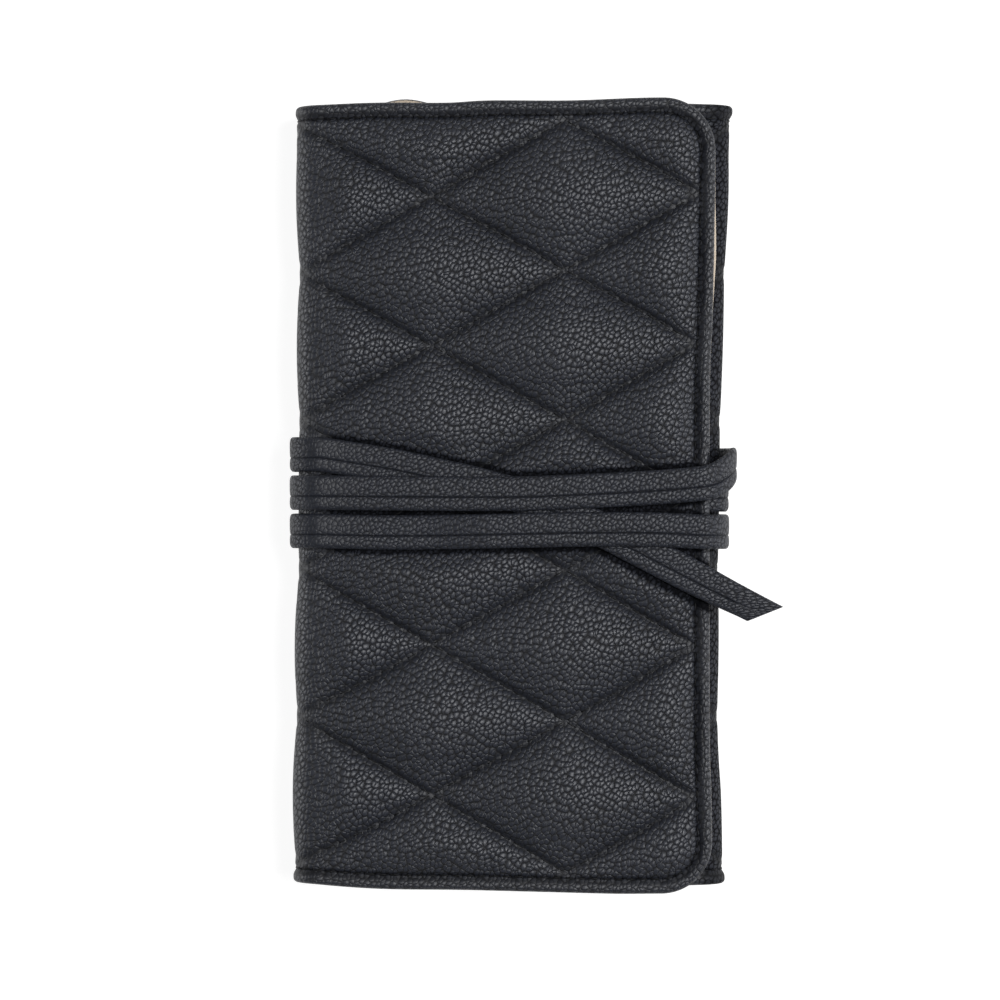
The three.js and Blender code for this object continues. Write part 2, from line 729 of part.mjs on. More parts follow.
// The strap's length, and the least gap between stretches of it that are apart along its length.
function measureStrap(frames) {
  const spacing = 0.8;
  const samples = [];
  let length = 0;
  for (let k = 1; k < frames.length; k++) {
    const [from, to] = [frames[k - 1], frames[k]];
    const step = to.point.distanceTo(from.point);
    const count = Math.max(1, Math.round(step / spacing));
    for (let s = 0; s < count; s++) {
      const point = from.point.clone().lerp(to.point, s / count);
      samples.push({ ...from, point, at: length + (step * s) / count });
    }
    length += step;
  }
  let gap = Infinity;
  for (const a of samples) {
    for (const b of samples) {
      if (b.at - a.at < 4 * strapWidth) continue;
      const apart = b.point.clone().sub(a.point);
      const beside = Math.max(0, Math.abs(apart.dot(a.across)) - strapWidth);
      const above = Math.max(0, Math.abs(apart.dot(a.out)) - strapThickness);
      const ahead = Math.max(0, Math.abs(apart.dot(a.along)) - spacing);
      gap = Math.min(gap, Math.hypot(beside, above, ahead));
    }
  }
  return { length, gap };
}

function tieStrap() {
  const frames = strapFrames();
  const { length, gap } = measureStrap(frames);
  console.log(`tie strap: ${length.toFixed(0)} mm long, least gap to itself ${gap.toFixed(2)} mm`);
  return named("tie_strap", sweptStrap(frames), leather());
}

const roll = new THREE.Group();
roll.add(
  ...backPanel(),
  zipSlider(),
  zipPull(),
  ...fold("left_fold", -1, flap.channel),
  ...flapPanel(),
  tieStrap(),
  ...fold("right_fold", 1, inner.channel),
  ...innerPanel(),
);

export default roll;
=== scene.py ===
import json
import math

import bmesh
import bpy
import numpy as np
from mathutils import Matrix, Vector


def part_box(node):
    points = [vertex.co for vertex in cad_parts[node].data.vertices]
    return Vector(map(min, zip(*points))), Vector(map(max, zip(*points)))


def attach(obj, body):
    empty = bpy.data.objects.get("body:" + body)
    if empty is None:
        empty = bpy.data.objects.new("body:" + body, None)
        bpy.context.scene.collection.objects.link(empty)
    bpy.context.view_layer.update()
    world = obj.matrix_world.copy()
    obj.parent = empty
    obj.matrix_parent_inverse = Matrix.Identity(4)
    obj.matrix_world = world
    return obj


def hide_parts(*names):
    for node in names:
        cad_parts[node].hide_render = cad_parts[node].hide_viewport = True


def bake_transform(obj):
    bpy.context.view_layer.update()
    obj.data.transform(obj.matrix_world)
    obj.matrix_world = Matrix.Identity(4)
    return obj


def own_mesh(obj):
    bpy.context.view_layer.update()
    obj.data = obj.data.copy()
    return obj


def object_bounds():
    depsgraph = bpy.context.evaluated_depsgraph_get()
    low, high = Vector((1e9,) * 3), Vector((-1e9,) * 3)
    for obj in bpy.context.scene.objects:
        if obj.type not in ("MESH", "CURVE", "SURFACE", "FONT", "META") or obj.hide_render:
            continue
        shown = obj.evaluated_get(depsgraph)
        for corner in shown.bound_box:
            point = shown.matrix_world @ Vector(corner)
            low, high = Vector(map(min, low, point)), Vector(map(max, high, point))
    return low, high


# A quilted leather jewelry roll, folded shut and tied. Metres, +Z up, +Y along the roll.
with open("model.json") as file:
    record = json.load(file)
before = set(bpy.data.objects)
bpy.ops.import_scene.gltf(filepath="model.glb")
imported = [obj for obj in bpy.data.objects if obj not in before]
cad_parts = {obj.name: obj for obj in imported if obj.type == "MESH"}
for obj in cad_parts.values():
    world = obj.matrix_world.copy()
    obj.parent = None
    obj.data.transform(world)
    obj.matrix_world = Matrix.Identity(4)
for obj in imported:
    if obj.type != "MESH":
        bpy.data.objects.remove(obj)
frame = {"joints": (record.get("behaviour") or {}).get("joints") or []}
cadLow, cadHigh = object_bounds()
bpy.ops.object.select_all(action="DESELECT")
scene = bpy.context.scene
mm = 0.001

# Where the roll folds, and the level of each panel's sewn channels
pivots = {joint["name"]: joint["pos_m"] for joint in frame["joints"] if joint["type"] == "hinge"}
leftFold, _, backLevel = pivots["left_fold_lower"]
rightFold = pivots["right_fold_lower"][0]
flapLevel = pivots["left_fold_upper"][2]
innerLevel = pivots["right_fold_upper"][2]
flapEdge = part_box("flap_cover")[1].x
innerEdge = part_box("inner_cover")[0].x
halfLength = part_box("flap_cover")[1].y
flapWidth = flapEdge - leftFold


def middleOf(node, axis):
    low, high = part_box(node)
    return (low[axis] + high[axis]) / 2


# Numbers and lines
def smoothStep(value, low, high):
    t = np.clip((value - low) / (high - low), 0, 1)
    return t * t * (3 - 2 * t)


def bell(distance, width):
    return np.exp(-((distance / width) ** 2))


def softMin(a, b, ease):
    return -ease * np.log(np.exp(-a / ease) + np.exp(-b / ease))


def unit(vectors):
    return vectors / np.linalg.norm(vectors, axis=-1, keepdims=True)


def walkedAlong(points):
    return np.concatenate([[0], np.cumsum(np.linalg.norm(np.diff(points, axis=0), axis=1))])


def valuesAt(at, walked, values):
    return np.stack([np.interp(at, walked, column) for column in values.T], axis=1)


def spaced(points, step):
    points = np.asarray(points, float)
    walked = walkedAlong(points)
    count = max(2, round(walked[-1] / step) + 1)
    return valuesAt(np.linspace(0, walked[-1], count), walked, points)


runSteps = 12  # from one given point to the next


# A smooth run through given points, in X and Y
def smoothRun(points, step):
    points = np.asarray(points, float)
    ends = np.vstack([2 * points[0] - points[1], points, 2 * points[-1] - points[-2]])
    run = []
    for a, b, c, d in zip(ends, ends[1:], ends[2:], ends[3:]):
        for t in np.linspace(0, 1, runSteps, endpoint=False):
            bent = (2 * a - 5 * b + 4 * c - d) * t**2 + (3 * b - a - 3 * c + d) * t**3
            run.append((2 * b + (c - a) * t + bent) / 2)
    run.append(points[-1])
    return spaced(run, step)


# A value between points given in millimetres
def through(points, at):
    run = smoothRun(points, 1.0)
    return np.interp(at / mm, run[:, 0], run[:, 1]) * mm


# Camera
view = {
    "mmPerPixel": 0.2738,  # at the level of the flap
    "pixels": 1000,
    "middle": (-3.29 * mm, -1.5 * mm),
    "distance": 1200 * mm,
    "sensor": 36.0,
    "nearest": 10 * mm,
}


def addCamera():
    camera = bpy.data.cameras.new("camera")
    camera.sensor_width = view["sensor"]
    seen = view["mmPerPixel"] * mm * view["pixels"]
    camera.lens = view["sensor"] * view["distance"] / seen
    camera.clip_start = view["nearest"]
    holder = bpy.data.objects.new("camera", camera)
    holder.location = (*view["middle"], flapLevel + view["distance"])
    scene.collection.objects.link(holder)
    scene.camera = holder


# Material nodes
def tint(code):
    parts = [int(code[k : k + 2], 16) / 255 for k in (1, 3, 5)]
    linear = [c / 12.92 if c <= 0.04045 else ((c + 0.055) / 1.055) ** 2.4 for c in parts]
    return (*linear, 1.0)


# Adds a node with its settings, values and links, and gives its outputs
def addNode(tree, kind, inputs=None, **settings):
    node = tree.nodes.new(f"ShaderNode{kind}")
    for key, value in settings.items():
        setattr(node, key, value)
    for key, value in (inputs or {}).items():
        if isinstance(value, bpy.types.NodeSocket):
            tree.links.new(value, node.inputs[key])
        else:
            node.inputs[key].default_value = value
    return node.outputs


def startMaterial(name):
    material = bpy.data.materials.new(name)
    material.use_nodes = True
    material.node_tree.nodes.clear()
    return material, material.node_tree


leatherLook = {
    # the tops' tint, and the crevices' near black, which is painted shade in the creases and the valleys
    "top": "#2a2d36",
    "crevice": "#0a0b0f",
    "pebble": 1.4 * mm,  # width of a grain pebble
    "scatter": 0.9,  # how far the pebbles are from an even grid
    "warp": 0.45 * mm,  # how far they are pulled out of shape
    "drift": 0.45,  # waves of that pull to a pebble
    "stretch": 1.15,  # they are a little longer than wide
    "lean": math.radians(120),  # and their long axes lean this way on the strip
    "depth": 0.25 * mm,
    "dome": 0.78,  # share of the depth in the pebbles' tops
    "domeEnd": 0.45,  # where a dome ends, as the square of the way from its middle
    "wall": 0.48,  # share of the depth in the creases between them
    "wallEnd": 0.2,  # half width of a crease, in pebbles
    "pore": 0.3 * mm,  # coarser than real pores, which are too fine to show
    "poreShare": 0.2,
    "heights": (0.2, 1.3),  # of the creases and the tops
    "cloud": 24 * mm,  # size of the soft changes in colour
    "cloudShare": 0.4,
    "smooth": 0.33,  # how far leather with no pebbles keeps the colour of their tops
    "shown": (0.15, 1.1),  # from the crevices' colour to the tops'
    "satin": 0.45,
    "matt": 0.75,
    "gloss": 0.6,
    "dull": 0.13,  # how much of the gloss is taken away between the pebbles, as painted shade
    "dullest": 0.08,  # what is left of it under the deepest painted shade
    "valley": 0.5,  # how much painted shade takes the gloss down to what is left
    "ior": 1.5,
}
strapLook = {
    **leatherLook,
    "pebble": 1.2 * mm,
    "warp": 0.4 * mm,
    "depth": 0.22 * mm,
    "smooth": 0.5,
    "gloss": 0.42,
}


# Pebbled cowhide with a satin topcoat: domed pebbles catch the light; their tops are painted paler and the
# creases between them painted near black, as painted light and shade.
def pebbledLeather(name, look):
    material, tree = startMaterial(name)
    flat = addNode(tree, "UVMap", uv_map="flat")[0]
    relief = addNode(tree, "Attribute", attribute_name="grain")["Fac"]
    # painted shade: how much darker and less glossy the leather is painted at its seams, its edge groove,
    # its right fold and under the strap
    valley = addNode(tree, "Attribute", attribute_name="valley")["Fac"]
    # pebbles, pulled a little out of shape and leaning one way
    pull = {"Vector": flat, "Scale": look["drift"] / look["pebble"], "Detail": 1.0}
    drift = addNode(tree, "TexNoise", pull)["Color"]
    centred = addNode(tree, "VectorMath", {0: drift, 1: (0.5, 0.5, 0.5)}, operation="SUBTRACT")[0]
    warp = {0: centred, 1: (2 * look["warp"],) * 3, 2: flat}
    pulled = addNode(tree, "VectorMath", warp, operation="MULTIPLY_ADD")[0]
    longer = (look["stretch"], 1 / look["stretch"], 1)
    lean = {"Vector": pulled, "Rotation": (0, 0, look["lean"]), "Scale": longer}
    leaning = addNode(tree, "Mapping", lean, vector_type="TEXTURE")[0]
    cells = {"Vector": leaning, "Scale": 1 / look["pebble"], "Randomness": look["scatter"]}
    middle, edge = [
        addNode(tree, "TexVoronoi", cells, voronoi_dimensions="2D", feature=feature)["Distance"]
        for feature in ("F1", "DISTANCE_TO_EDGE")
    ]
    # height: a dome on each pebble, its wall down to the crease, and pores
    square = addNode(tree, "Math", {0: middle, 1: middle}, operation="MULTIPLY")[0]
    falling = {"Value": square, "From Max": look["domeEnd"], "To Min": look["dome"], "To Max": 0.0}
    dome = addNode(tree, "MapRange", falling)[0]
    rising = {"Value": edge, "From Max": look["wallEnd"], "To Max": look["wall"]}
    wall = addNode(tree, "MapRange", rising, interpolation_type="SMOOTHSTEP")[0]
    pebble = addNode(tree, "Math", {0: wall, 1: dome})[0]
    pores = addNode(tree, "TexNoise", {"Vector": flat, "Scale": 1 / look["pore"], "Detail": 2.0})["Fac"]
    height = addNode(tree, "Math", {0: pores, 1: look["poreShare"], 2: pebble}, operation="MULTIPLY_ADD")[0]
    raised = addNode(tree, "Math", {0: height, 1: relief}, operation="MULTIPLY")[0]
    bump = addNode(tree, "Bump", {"Height": raised, "Strength": 1.0, "Distance": look["depth"]})[0]
    # colour: painted light and shade, paler on the tops and dark in the creases, with painted shade in the
    # valleys at the seams, over soft random clouds of tone
    lowest, highest = look["heights"]
    tops = addNode(tree, "MapRange", {"Value": height, "From Min": lowest, "From Max": highest})[0]
    proud = addNode(tree, "Math", {0: tops, 1: relief}, operation="MULTIPLY")[0]
    crease = addNode(tree, "Math", {0: relief, 1: proud}, operation="SUBTRACT")[0]
    clouds = addNode(tree, "TexNoise", {"Vector": flat, "Scale": 1 / look["cloud"], "Detail": 3.0})["Fac"]
    # random clouds of tone, plus the pebble tops painted paler as painted light
    tonesAndPaintedTops = addNode(tree, "Math", {0: clouds, 1: look["cloudShare"], 2: proud}, operation="MULTIPLY_ADD")[0]
    plain = {0: relief, 1: -look["smooth"], 2: look["smooth"]}
    smooth = addNode(tree, "Math", plain, operation="MULTIPLY_ADD")[0]
    lit = addNode(tree, "Math", {0: tonesAndPaintedTops, 1: smooth})[0]
    shown = addNode(tree, "Math", {0: lit, 1: valley}, operation="SUBTRACT")[0]
    darkest, palest = look["shown"]
    share = addNode(tree, "MapRange", {"Value": shown, "From Min": darkest, "From Max": palest})[0]
    colours = {0: share, 6: tint(look["crevice"]), 7: tint(look["top"])}
    colour = addNode(tree, "Mix", colours, data_type="RGBA")[2]
    # finish: matt in the creases and the valleys; gloss taken away a little in the creases and almost wholly
    # in the valleys, as painted shade
    worked = addNode(tree, "Math", {0: crease, 1: valley})[0]
    rough = addNode(tree, "MapRange", {"Value": worked, "To Min": look["satin"], "To Max": look["matt"]})[0]
    paintedShadeLevel = addNode(tree, "Math", {0: crease, 1: look["dull"], 2: valley}, operation="MULTIPLY_ADD")[0]
    lost = {"Value": paintedShadeLevel, "From Max": look["valley"], "To Min": look["gloss"], "To Max": look["dullest"]}
    gloss = addNode(tree, "MapRange", lost)[0]
    finish = {
        "Base Color": colour,
        "Roughness": rough,
        "Specular IOR Level": gloss,
        "IOR": look["ior"],
        "Normal": bump,
    }
    shader = addNode(tree, "BsdfPrincipled", finish)[0]
    addNode(tree, "OutputMaterial", {"Surface": shader})
    return material


suedeLook = {
    "nap": 0.5 * mm,  # coarser than real nap, which is too fine to show
    "napShare": 0.9,
    "stroke": 18 * mm,  # size of the clouds where it was stroked
    "shown": (0.35, 1.5),
    "bump": 0.8,
    "depth": 0.15 * mm,
    "rough": 0.92,
    "sheen": 0.35,
    "sheenRough": 0.5,
}


# Microsuede: short brushed nap that clouds where it was stroked, with a soft sheen.
def microsuede(name, colour, shade):
    look = suedeLook
    material, tree = startMaterial(name)
    flat = addNode(tree, "UVMap", uv_map="flat")[0]
    nap = addNode(tree, "TexNoise", {"Vector": flat, "Scale": 1 / look["nap"], "Detail": 3.0})["Fac"]
    strokes = addNode(tree, "TexNoise", {"Vector": flat, "Scale": 1 / look["stroke"], "Detail": 2.0})["Fac"]
    brushed = addNode(tree, "Math", {0: nap, 1: look["napShare"], 2: strokes}, operation="MULTIPLY_ADD")[0]
    darkest, palest = look["shown"]
    share = addNode(tree, "MapRange", {"Value": brushed, "From Min": darkest, "From Max": palest})[0]
    clouded = addNode(tree, "Mix", {0: share, 6: tint(shade), 7: tint(colour)}, data_type="RGBA")[2]
    bump = addNode(tree, "Bump", {"Height": nap, "Strength": look["bump"], "Distance": look["depth"]})[0]
    finish = {
        "Base Color": clouded,
        "Roughness": look["rough"],
        "Sheen Weight": look["sheen"],
        "Sheen Roughness": look["sheenRough"],
        "Normal": bump,
    }
    shader = addNode(tree, "BsdfPrincipled", finish)[0]
    addNode(tree, "OutputMaterial", {"Surface": shader})
    return material


polyesterLook = {
    "twist": 1.4 * math.pi * mm,  # turn to turn along X, longer than in real thread so that it shows
    "wander": 2.0,
    "bump": 0.5,
    "depth": 0.06 * mm,
    "rough": 0.6,
    "gloss": 0.25,
}


# Bonded polyester thread: twisted plies with a dull satin finish.
def threadMaterial(name, colour, shade):
    look = polyesterLook
    material, tree = startMaterial(name)
    place = addNode(tree, "TexCoord")["Object"]
    # a diagonal wave of scale 1 turns 10 radians in a metre along X
    turns = {"Vector": place, "Scale": 2 * math.pi / 10 / look["twist"], "Distortion": look["wander"]}
    twist = addNode(tree, "TexWave", turns, bands_direction="DIAGONAL")["Fac"]
    plies = addNode(tree, "Mix", {0: twist, 6: tint(shade), 7: tint(colour)}, data_type="RGBA")[2]
    bump = addNode(tree, "Bump", {"Height": twist, "Strength": look["bump"], "Distance": look["depth"]})[0]
    finish = {
        "Base Color": plies,
        "Roughness": look["rough"],
        "Specular IOR Level": look["gloss"],
        "Normal": bump,
    }
    shader = addNode(tree, "BsdfPrincipled", finish)[0]
    addNode(tree, "OutputMaterial", {"Surface": shader})
    return material


tapeLook = {
    "dark": "#17171a",
    "pale": "#34343a",
    "rib": 0.55 * mm,
    "wander": 0.3,
    "bump": 0.8,
    "depth": 0.1 * mm,
    "rough": 0.78,
}


# Woven polyester zip tape: a herringbone of fine ribs, black and a little paler on the ribs.
def wovenTape(name):
    look = tapeLook
    material, tree = startMaterial(name)
    flat = addNode(tree, "UVMap", uv_map="flat")[0]
    ribs = []
    for way in (1, -1):
        slanted = addNode(tree, "Mapping", {"Vector": flat, "Rotation": (0, 0, way * math.pi / 4)})[0]
        # a wave of scale 1 turns 20 radians in a metre
        rows = {"Vector": slanted, "Scale": 2 * math.pi / 20 / look["rib"], "Distortion": look["wander"]}
        ribs.append(addNode(tree, "TexWave", rows)["Fac"])
    weave = addNode(tree, "Math", {0: ribs[0], 1: ribs[1]}, operation="MULTIPLY")[0]
    colours = {0: weave, 6: tint(look["dark"]), 7: tint(look["pale"])}
    colour = addNode(tree, "Mix", colours, data_type="RGBA")[2]
    bump = addNode(tree, "Bump", {"Height": weave, "Strength": look["bump"], "Distance": look["depth"]})[0]
    finish = {"Base Color": colour, "Roughness": look["rough"], "Normal": bump}
    shader = addNode(tree, "BsdfPrincipled", finish)[0]
    addNode(tree, "OutputMaterial", {"Surface": shader})
    return material


nylonLook = {"dark": "#1b1b1e", "pale": "#38383d", "scuff": 1.6 * mm, "rough": (0.28, 0.55), "ior": 1.53}


# Nylon monofilament: smooth satin black, a little scuffed where the slider runs.
def nylonCoil(name):
    look = nylonLook
    material, tree = startMaterial(name)
    place = addNode(tree, "TexCoord")["Object"]
    scuff = addNode(tree, "TexNoise", {"Vector": place, "Scale": 1 / look["scuff"], "Detail": 3.0})["Fac"]
    least, most = look["rough"]
    rough = addNode(tree, "MapRange", {"Value": scuff, "To Min": least, "To Max": most})[0]
    colours = {0: scuff, 6: tint(look["dark"]), 7: tint(look["pale"])}
    colour = addNode(tree, "Mix", colours, data_type="RGBA")[2]
    finish = {"Base Color": colour, "Roughness": rough, "IOR": look["ior"]}
    shader = addNode(tree, "BsdfPrincipled", finish)[0]
    addNode(tree, "OutputMaterial", {"Surface": shader})
    return material


goldLook = {
    "dark": "#b3924f",
    "pale": "#d3b26c",
    "mark": 0.7 * mm,  # coarser than real tumbling marks, which are too fine to show
    "rough": (0.14, 0.36),
    "bump": 0.15,
    "depth": 0.05 * mm,
}


# Die-cast zinc plated in pale gold: polished, with faint tumbling marks.
def platedGold(name):
    look = goldLook
    material, tree = startMaterial(name)
    place = addNode(tree, "TexCoord")["Object"]
    marks = addNode(tree, "TexNoise", {"Vector": place, "Scale": 1 / look["mark"], "Detail": 4.0})["Fac"]
    least, most = look["rough"]
    rough = addNode(tree, "MapRange", {"Value": marks, "To Min": least, "To Max": most})[0]
    colours = {0: marks, 6: tint(look["dark"]), 7: tint(look["pale"])}
    colour = addNode(tree, "Mix", colours, data_type="RGBA")[2]
    bump = addNode(tree, "Bump", {"Height": marks, "Strength": look["bump"], "Distance": look["depth"]})[0]
    finish = {"Base Color": colour, "Metallic": 1.0, "Roughness": rough, "Normal": bump}
    shader = addNode(tree, "BsdfPrincipled", finish)[0]
    addNode(tree, "OutputMaterial", {"Surface": shader})
    return material


# Stage
stage = {
    "floorGap": 0.1 * mm,  # under the strap, which is the lowest piece
    "floorSize": 6.0,
    "floor": "#969696",
    "floorGlow": 0.92,
    "sky": 0.03,
    "walls": 0.6,  # white walls round the table, which show in glossy edges
    "wallTop": 0.3,
    "lamps": [
        # place, width and height, watts
        ((0.52, 0.12, 1.4), (0.6, 0.6), 19.0),
        ((-1.2, 0.0, 0.2), (0.4, 0.2), 4.8),
        ((1.2, 0.0, 0.2), (0.4, 0.2), 3.6),
    ],
}


# A matt white sheet of paper that glows to the eye and in mirrors, so that only soft shadows show on it
def paperMaterial():
    material, tree = startMaterial("whitePaper")
    path = addNode(tree, "LightPath")
    seen = path["Is Camera Ray"]
    for ray in ("Is Glossy Ray", "Is Transmission Ray"):
        seen = addNode(tree, "Math", {0: seen, 1: path[ray]}, operation="MAXIMUM")[0]
    strength = addNode(tree, "Math", {0: seen, 1: stage["floorGlow"]}, operation="MULTIPLY")[0]
    glow = addNode(tree, "Emission", {"Strength": strength})[0]
    lit = addNode(tree, "BsdfDiffuse", {"Color": tint(stage["floor"])})[0]
    both = addNode(tree, "AddShader", {0: lit, 1: glow})[0]
    addNode(tree, "OutputMaterial", {"Surface": both})
    return material


def addFloor():
    bpy.ops.object.select_all(action="DESELECT")
    bpy.ops.mesh.primitive_plane_add(size=stage["floorSize"], location=(0, 0, cadLow.z - stage["floorGap"]))
    floor = bpy.context.object
    floor.name = "floor"
    floor.data.materials.append(paperMaterial())


def addLamps():
    for k, (place, size, watts) in enumerate(stage["lamps"]):
        lamp = bpy.data.lights.new(f"softbox{k + 1}", "AREA")
        lamp.shape = "RECTANGLE"
        lamp.size, lamp.size_y = size
        lamp.energy = watts
        holder = bpy.data.objects.new(lamp.name, lamp)
        holder.location = place
        holder.rotation_euler = holder.location.to_track_quat("Z", "Y").to_euler()
        scene.collection.objects.link(holder)


def addWorld():
    world = scene.world or bpy.data.worlds.new("studio")
    scene.world = world
    world.use_nodes = True
    tree = world.node_tree
    tree.nodes.clear()
    path = addNode(tree, "LightPath")
    way = addNode(tree, "TexCoord")["Generated"]
    up = addNode(tree, "SeparateXYZ", {0: way})["Z"]
    fading = {"Value": up, "From Max": stage["wallTop"], "To Min": stage["walls"], "To Max": 0.0}
    walls = addNode(tree, "MapRange", fading)[0]
    glossy = {0: walls, 1: path["Is Glossy Ray"], 2: stage["sky"]}
    mirrored = addNode(tree, "Math", glossy, operation="MULTIPLY_ADD")[0]
    strength = addNode(tree, "Math", {0: mirrored, 1: path["Is Camera Ray"]}, operation="MAXIMUM")[0]
    sky = addNode(tree, "Background", {"Strength": strength})[0]
    addNode(tree, "OutputWorld", {"Surface": sky})
    scene.view_settings.view_transform = "Standard"


# Meshes
def addPiece(name, points, faces, flat=None, grain=None, valley=None, material=None, sharp=50):
    mesh = bpy.data.meshes.new(name)
    mesh.from_pydata(np.asarray(points).tolist(), [], faces)
    if flat is not None:
        layer = mesh.uv_layers.new(name="flat")
        corners = np.zeros(len(mesh.loops), np.int32)
        mesh.loops.foreach_get("vertex_index", corners)
        layer.data.foreach_set("uv", np.asarray(flat, np.float32)[corners].ravel())
    # grain depth, and the painted shade that darkens the leather's colour
    for key, values in (("grain", grain), ("valley", valley)):
        if values is not None:
            layer = mesh.attributes.new(key, "FLOAT", "POINT")
            layer.data.foreach_set("value", np.asarray(values, np.float32))
    shell = bmesh.new()
    shell.from_mesh(mesh)
    bmesh.ops.recalc_face_normals(shell, faces=shell.faces)
    shell.to_mesh(mesh)
    shell.free()
    mesh.shade_smooth()
    mesh.set_sharp_from_angle(angle=math.radians(sharp))
    piece = bpy.data.objects.new(name, mesh)
    scene.collection.objects.link(piece)
    mesh.materials.append(material)
    return piece


def gridFaces(ids):
    quads = np.stack([ids[:-1, :-1], ids[1:, :-1], ids[1:, 1:], ids[:-1, 1:]], axis=-1)
    return quads.reshape(-1, 4).tolist()


# A row of closed rings, filled at both ends
def tubeFaces(ids):
    turned = np.roll(ids, -1, axis=1)
    quads = np.stack([ids[:-1], turned[:-1], turned[1:], ids[1:]], axis=-1)
    return quads.reshape(-1, 4).tolist() + [ids[0].tolist(), ids[-1].tolist()]


def sweep(rings):
    count, sides = rings.shape[:2]
    return tubeFaces(np.arange(count * sides).reshape(count, sides))


# A stitch's rings: place along it, size, and height over its holes in thread radii. Its ends dive in.
stitchRings = [(0.0, 0.5, -0.7), (0.14, 0.9, 0.1), (0.5, 1.0, 0.45), (0.86, 0.9, 0.1), (1.0, 0.5, -0.7)]
stitchSides = 6
buried = 0.12  # share of the way between two holes that is under the surface at each end


def threadPiece(name, starts, ends, outs, radius, material):
    along = ends - starts
    side = unit(np.cross(along, outs))
    points = np.zeros((len(starts), len(stitchRings), stitchSides, 3))
    for r, (share, size, lift) in enumerate(stitchRings):
        centre = starts + share * along + outs * radius * lift
        for k in range(stitchSides):
            angle = 2 * math.pi * k / stitchSides
            points[:, r, k] = centre + size * radius * (math.cos(angle) * side + math.sin(angle) * outs)
    ids = np.arange(points.size // 3).reshape(points.shape[:3])
    faces = [face for stitch in ids for face in tubeFaces(stitch)]
    return addPiece(name, points.reshape(-1, 3), faces, material=material, sharp=80)


# A path round the folds in the X-Z plane: straights with a quarter bend between each two. It starts
# towards -X, and its outside is on the right of the way that it runs.
def foldPath(start, straights, radius):
    path = []
    point = np.array(start, float)
    angle = math.pi
    at = 0.0
    for k, length in enumerate(straights):
        heading = np.array([math.cos(angle), math.sin(angle)])
        path.append({"at": at, "origin": point, "angle": angle, "radius": 0.0})
        point = point + length * heading
        at += length
        if k + 1 < len(straights):
            inward = np.array([-heading[1], heading[0]])
            path.append({"at": at, "origin": point + radius * inward, "angle": angle, "radius": radius})
            angle += math.pi / 2
            point = point + radius * (inward + heading)
            at += radius * math.pi / 2
    return path, at


# Places on a path: X, Z, and the way out there
def onPath(path, s):
    place = np.zeros((4, *np.shape(s)))
    for part in path:
        here = s >= part["at"] - 1e-9
        run = s[here] - part["at"]
        turn = run / part["radius"] if part["radius"] else np.zeros_like(run)
        outX = np.sin(part["angle"] + turn)
        outZ = -np.cos(part["angle"] + turn)
        if part["radius"]:
            x = part["origin"][0] + part["radius"] * outX
            z = part["origin"][1] + part["radius"] * outZ
        else:
            x = part["origin"][0] + run * math.cos(part["angle"])
            z = part["origin"][1] + run * math.sin(part["angle"])
        place[:, here] = [x, z, outX, outZ]
    return place


# How far a place is inside the edge of a strip whose ends have rounded corners
def insideEdge(s, v, ends, length, half):
    away = np.minimum(np.minimum(s, length - s), half - np.abs(v))
    for edge, inward, radius in ends:
        a = radius - inward * (s - edge)
        b = np.abs(v) - (half - radius)
        corner = (a > 0) & (b > 0)
        away = np.where(corner, radius - np.hypot(a, b), away)
    return away


# Grid lines near a rounded corner become arcs about its centre.
def roundCorners(s, v, ends, half):
    for edge, inward, radius in ends:
        a = radius - inward * (s - edge)
        b = np.abs(v) - (half - radius)
        corner = (a > 0) & (b > 0)
        reach = np.maximum(np.maximum(a, b), 1e-9)
        ratio = np.clip(np.minimum(a, b) / reach, 0, 1)
        turn = np.where(a >= b, ratio, 2 - ratio) * math.pi / 4
        s = np.where(corner, edge + inward * (radius - reach * np.cos(turn)), s)
        v = np.where(corner, np.sign(v) * (half - radius + reach * np.sin(turn)), v)
    return s, v


# The roll as it lies, soft and tied: how far each edge is outside its drawn line, in millimetres, by
# the place along the roll or across it
lie = {
    "leftFold": [(-108, 1.1), (-75, 0.8), (-35, 0.2), (0, 0), (50, -0.2), (88, 0), (101, 0.6), (108, 0.4)],
    "flapEdge": [
        (-108, 0), (-80, -0.4), (-63, -0.8), (26, -0.8),
        (46, -0.1), (67, 0.4), (87, 0.7), (108, 0.7),
    ],
    "rightFold": [
        (-108, -0.1), (-84, -1), (-66, -1.7), (-15, -1.5), (20, -1),
        (53, -0.1), (81, 1), (95, 1.3), (108, 2.1),
    ],
    "flapTop": [
        (-62, 0), (-54, 0), (-45, -0.2), (-28, -0.6), (-17, -0.6),
        (-6, 0), (16, 0), (38, 0.8), (58, 0.6),
    ],
    "flapBottom": [
        (-62, 0), (-54, 0), (-45, 0.2), (-17, 0.3),
        (5, 0.8), (27, 1.37), (38, 1.37), (58, 1.2),
    ],
    "foldShort": 0.0135,  # share of the length that the left fold takes up
    "foldReach": (-1 * mm, 38 * mm),
    "rightShort": 0.005,
    "reach": 22 * mm,
    "edgeReach": 40 * mm,
    "wave": 2.25 * mm,  # the back's upper edge stands out past the flap here
    "waveAt": -29.8 * mm,
    "waveHalf": 13.5 * mm,
    "waveReach": 14 * mm,
}


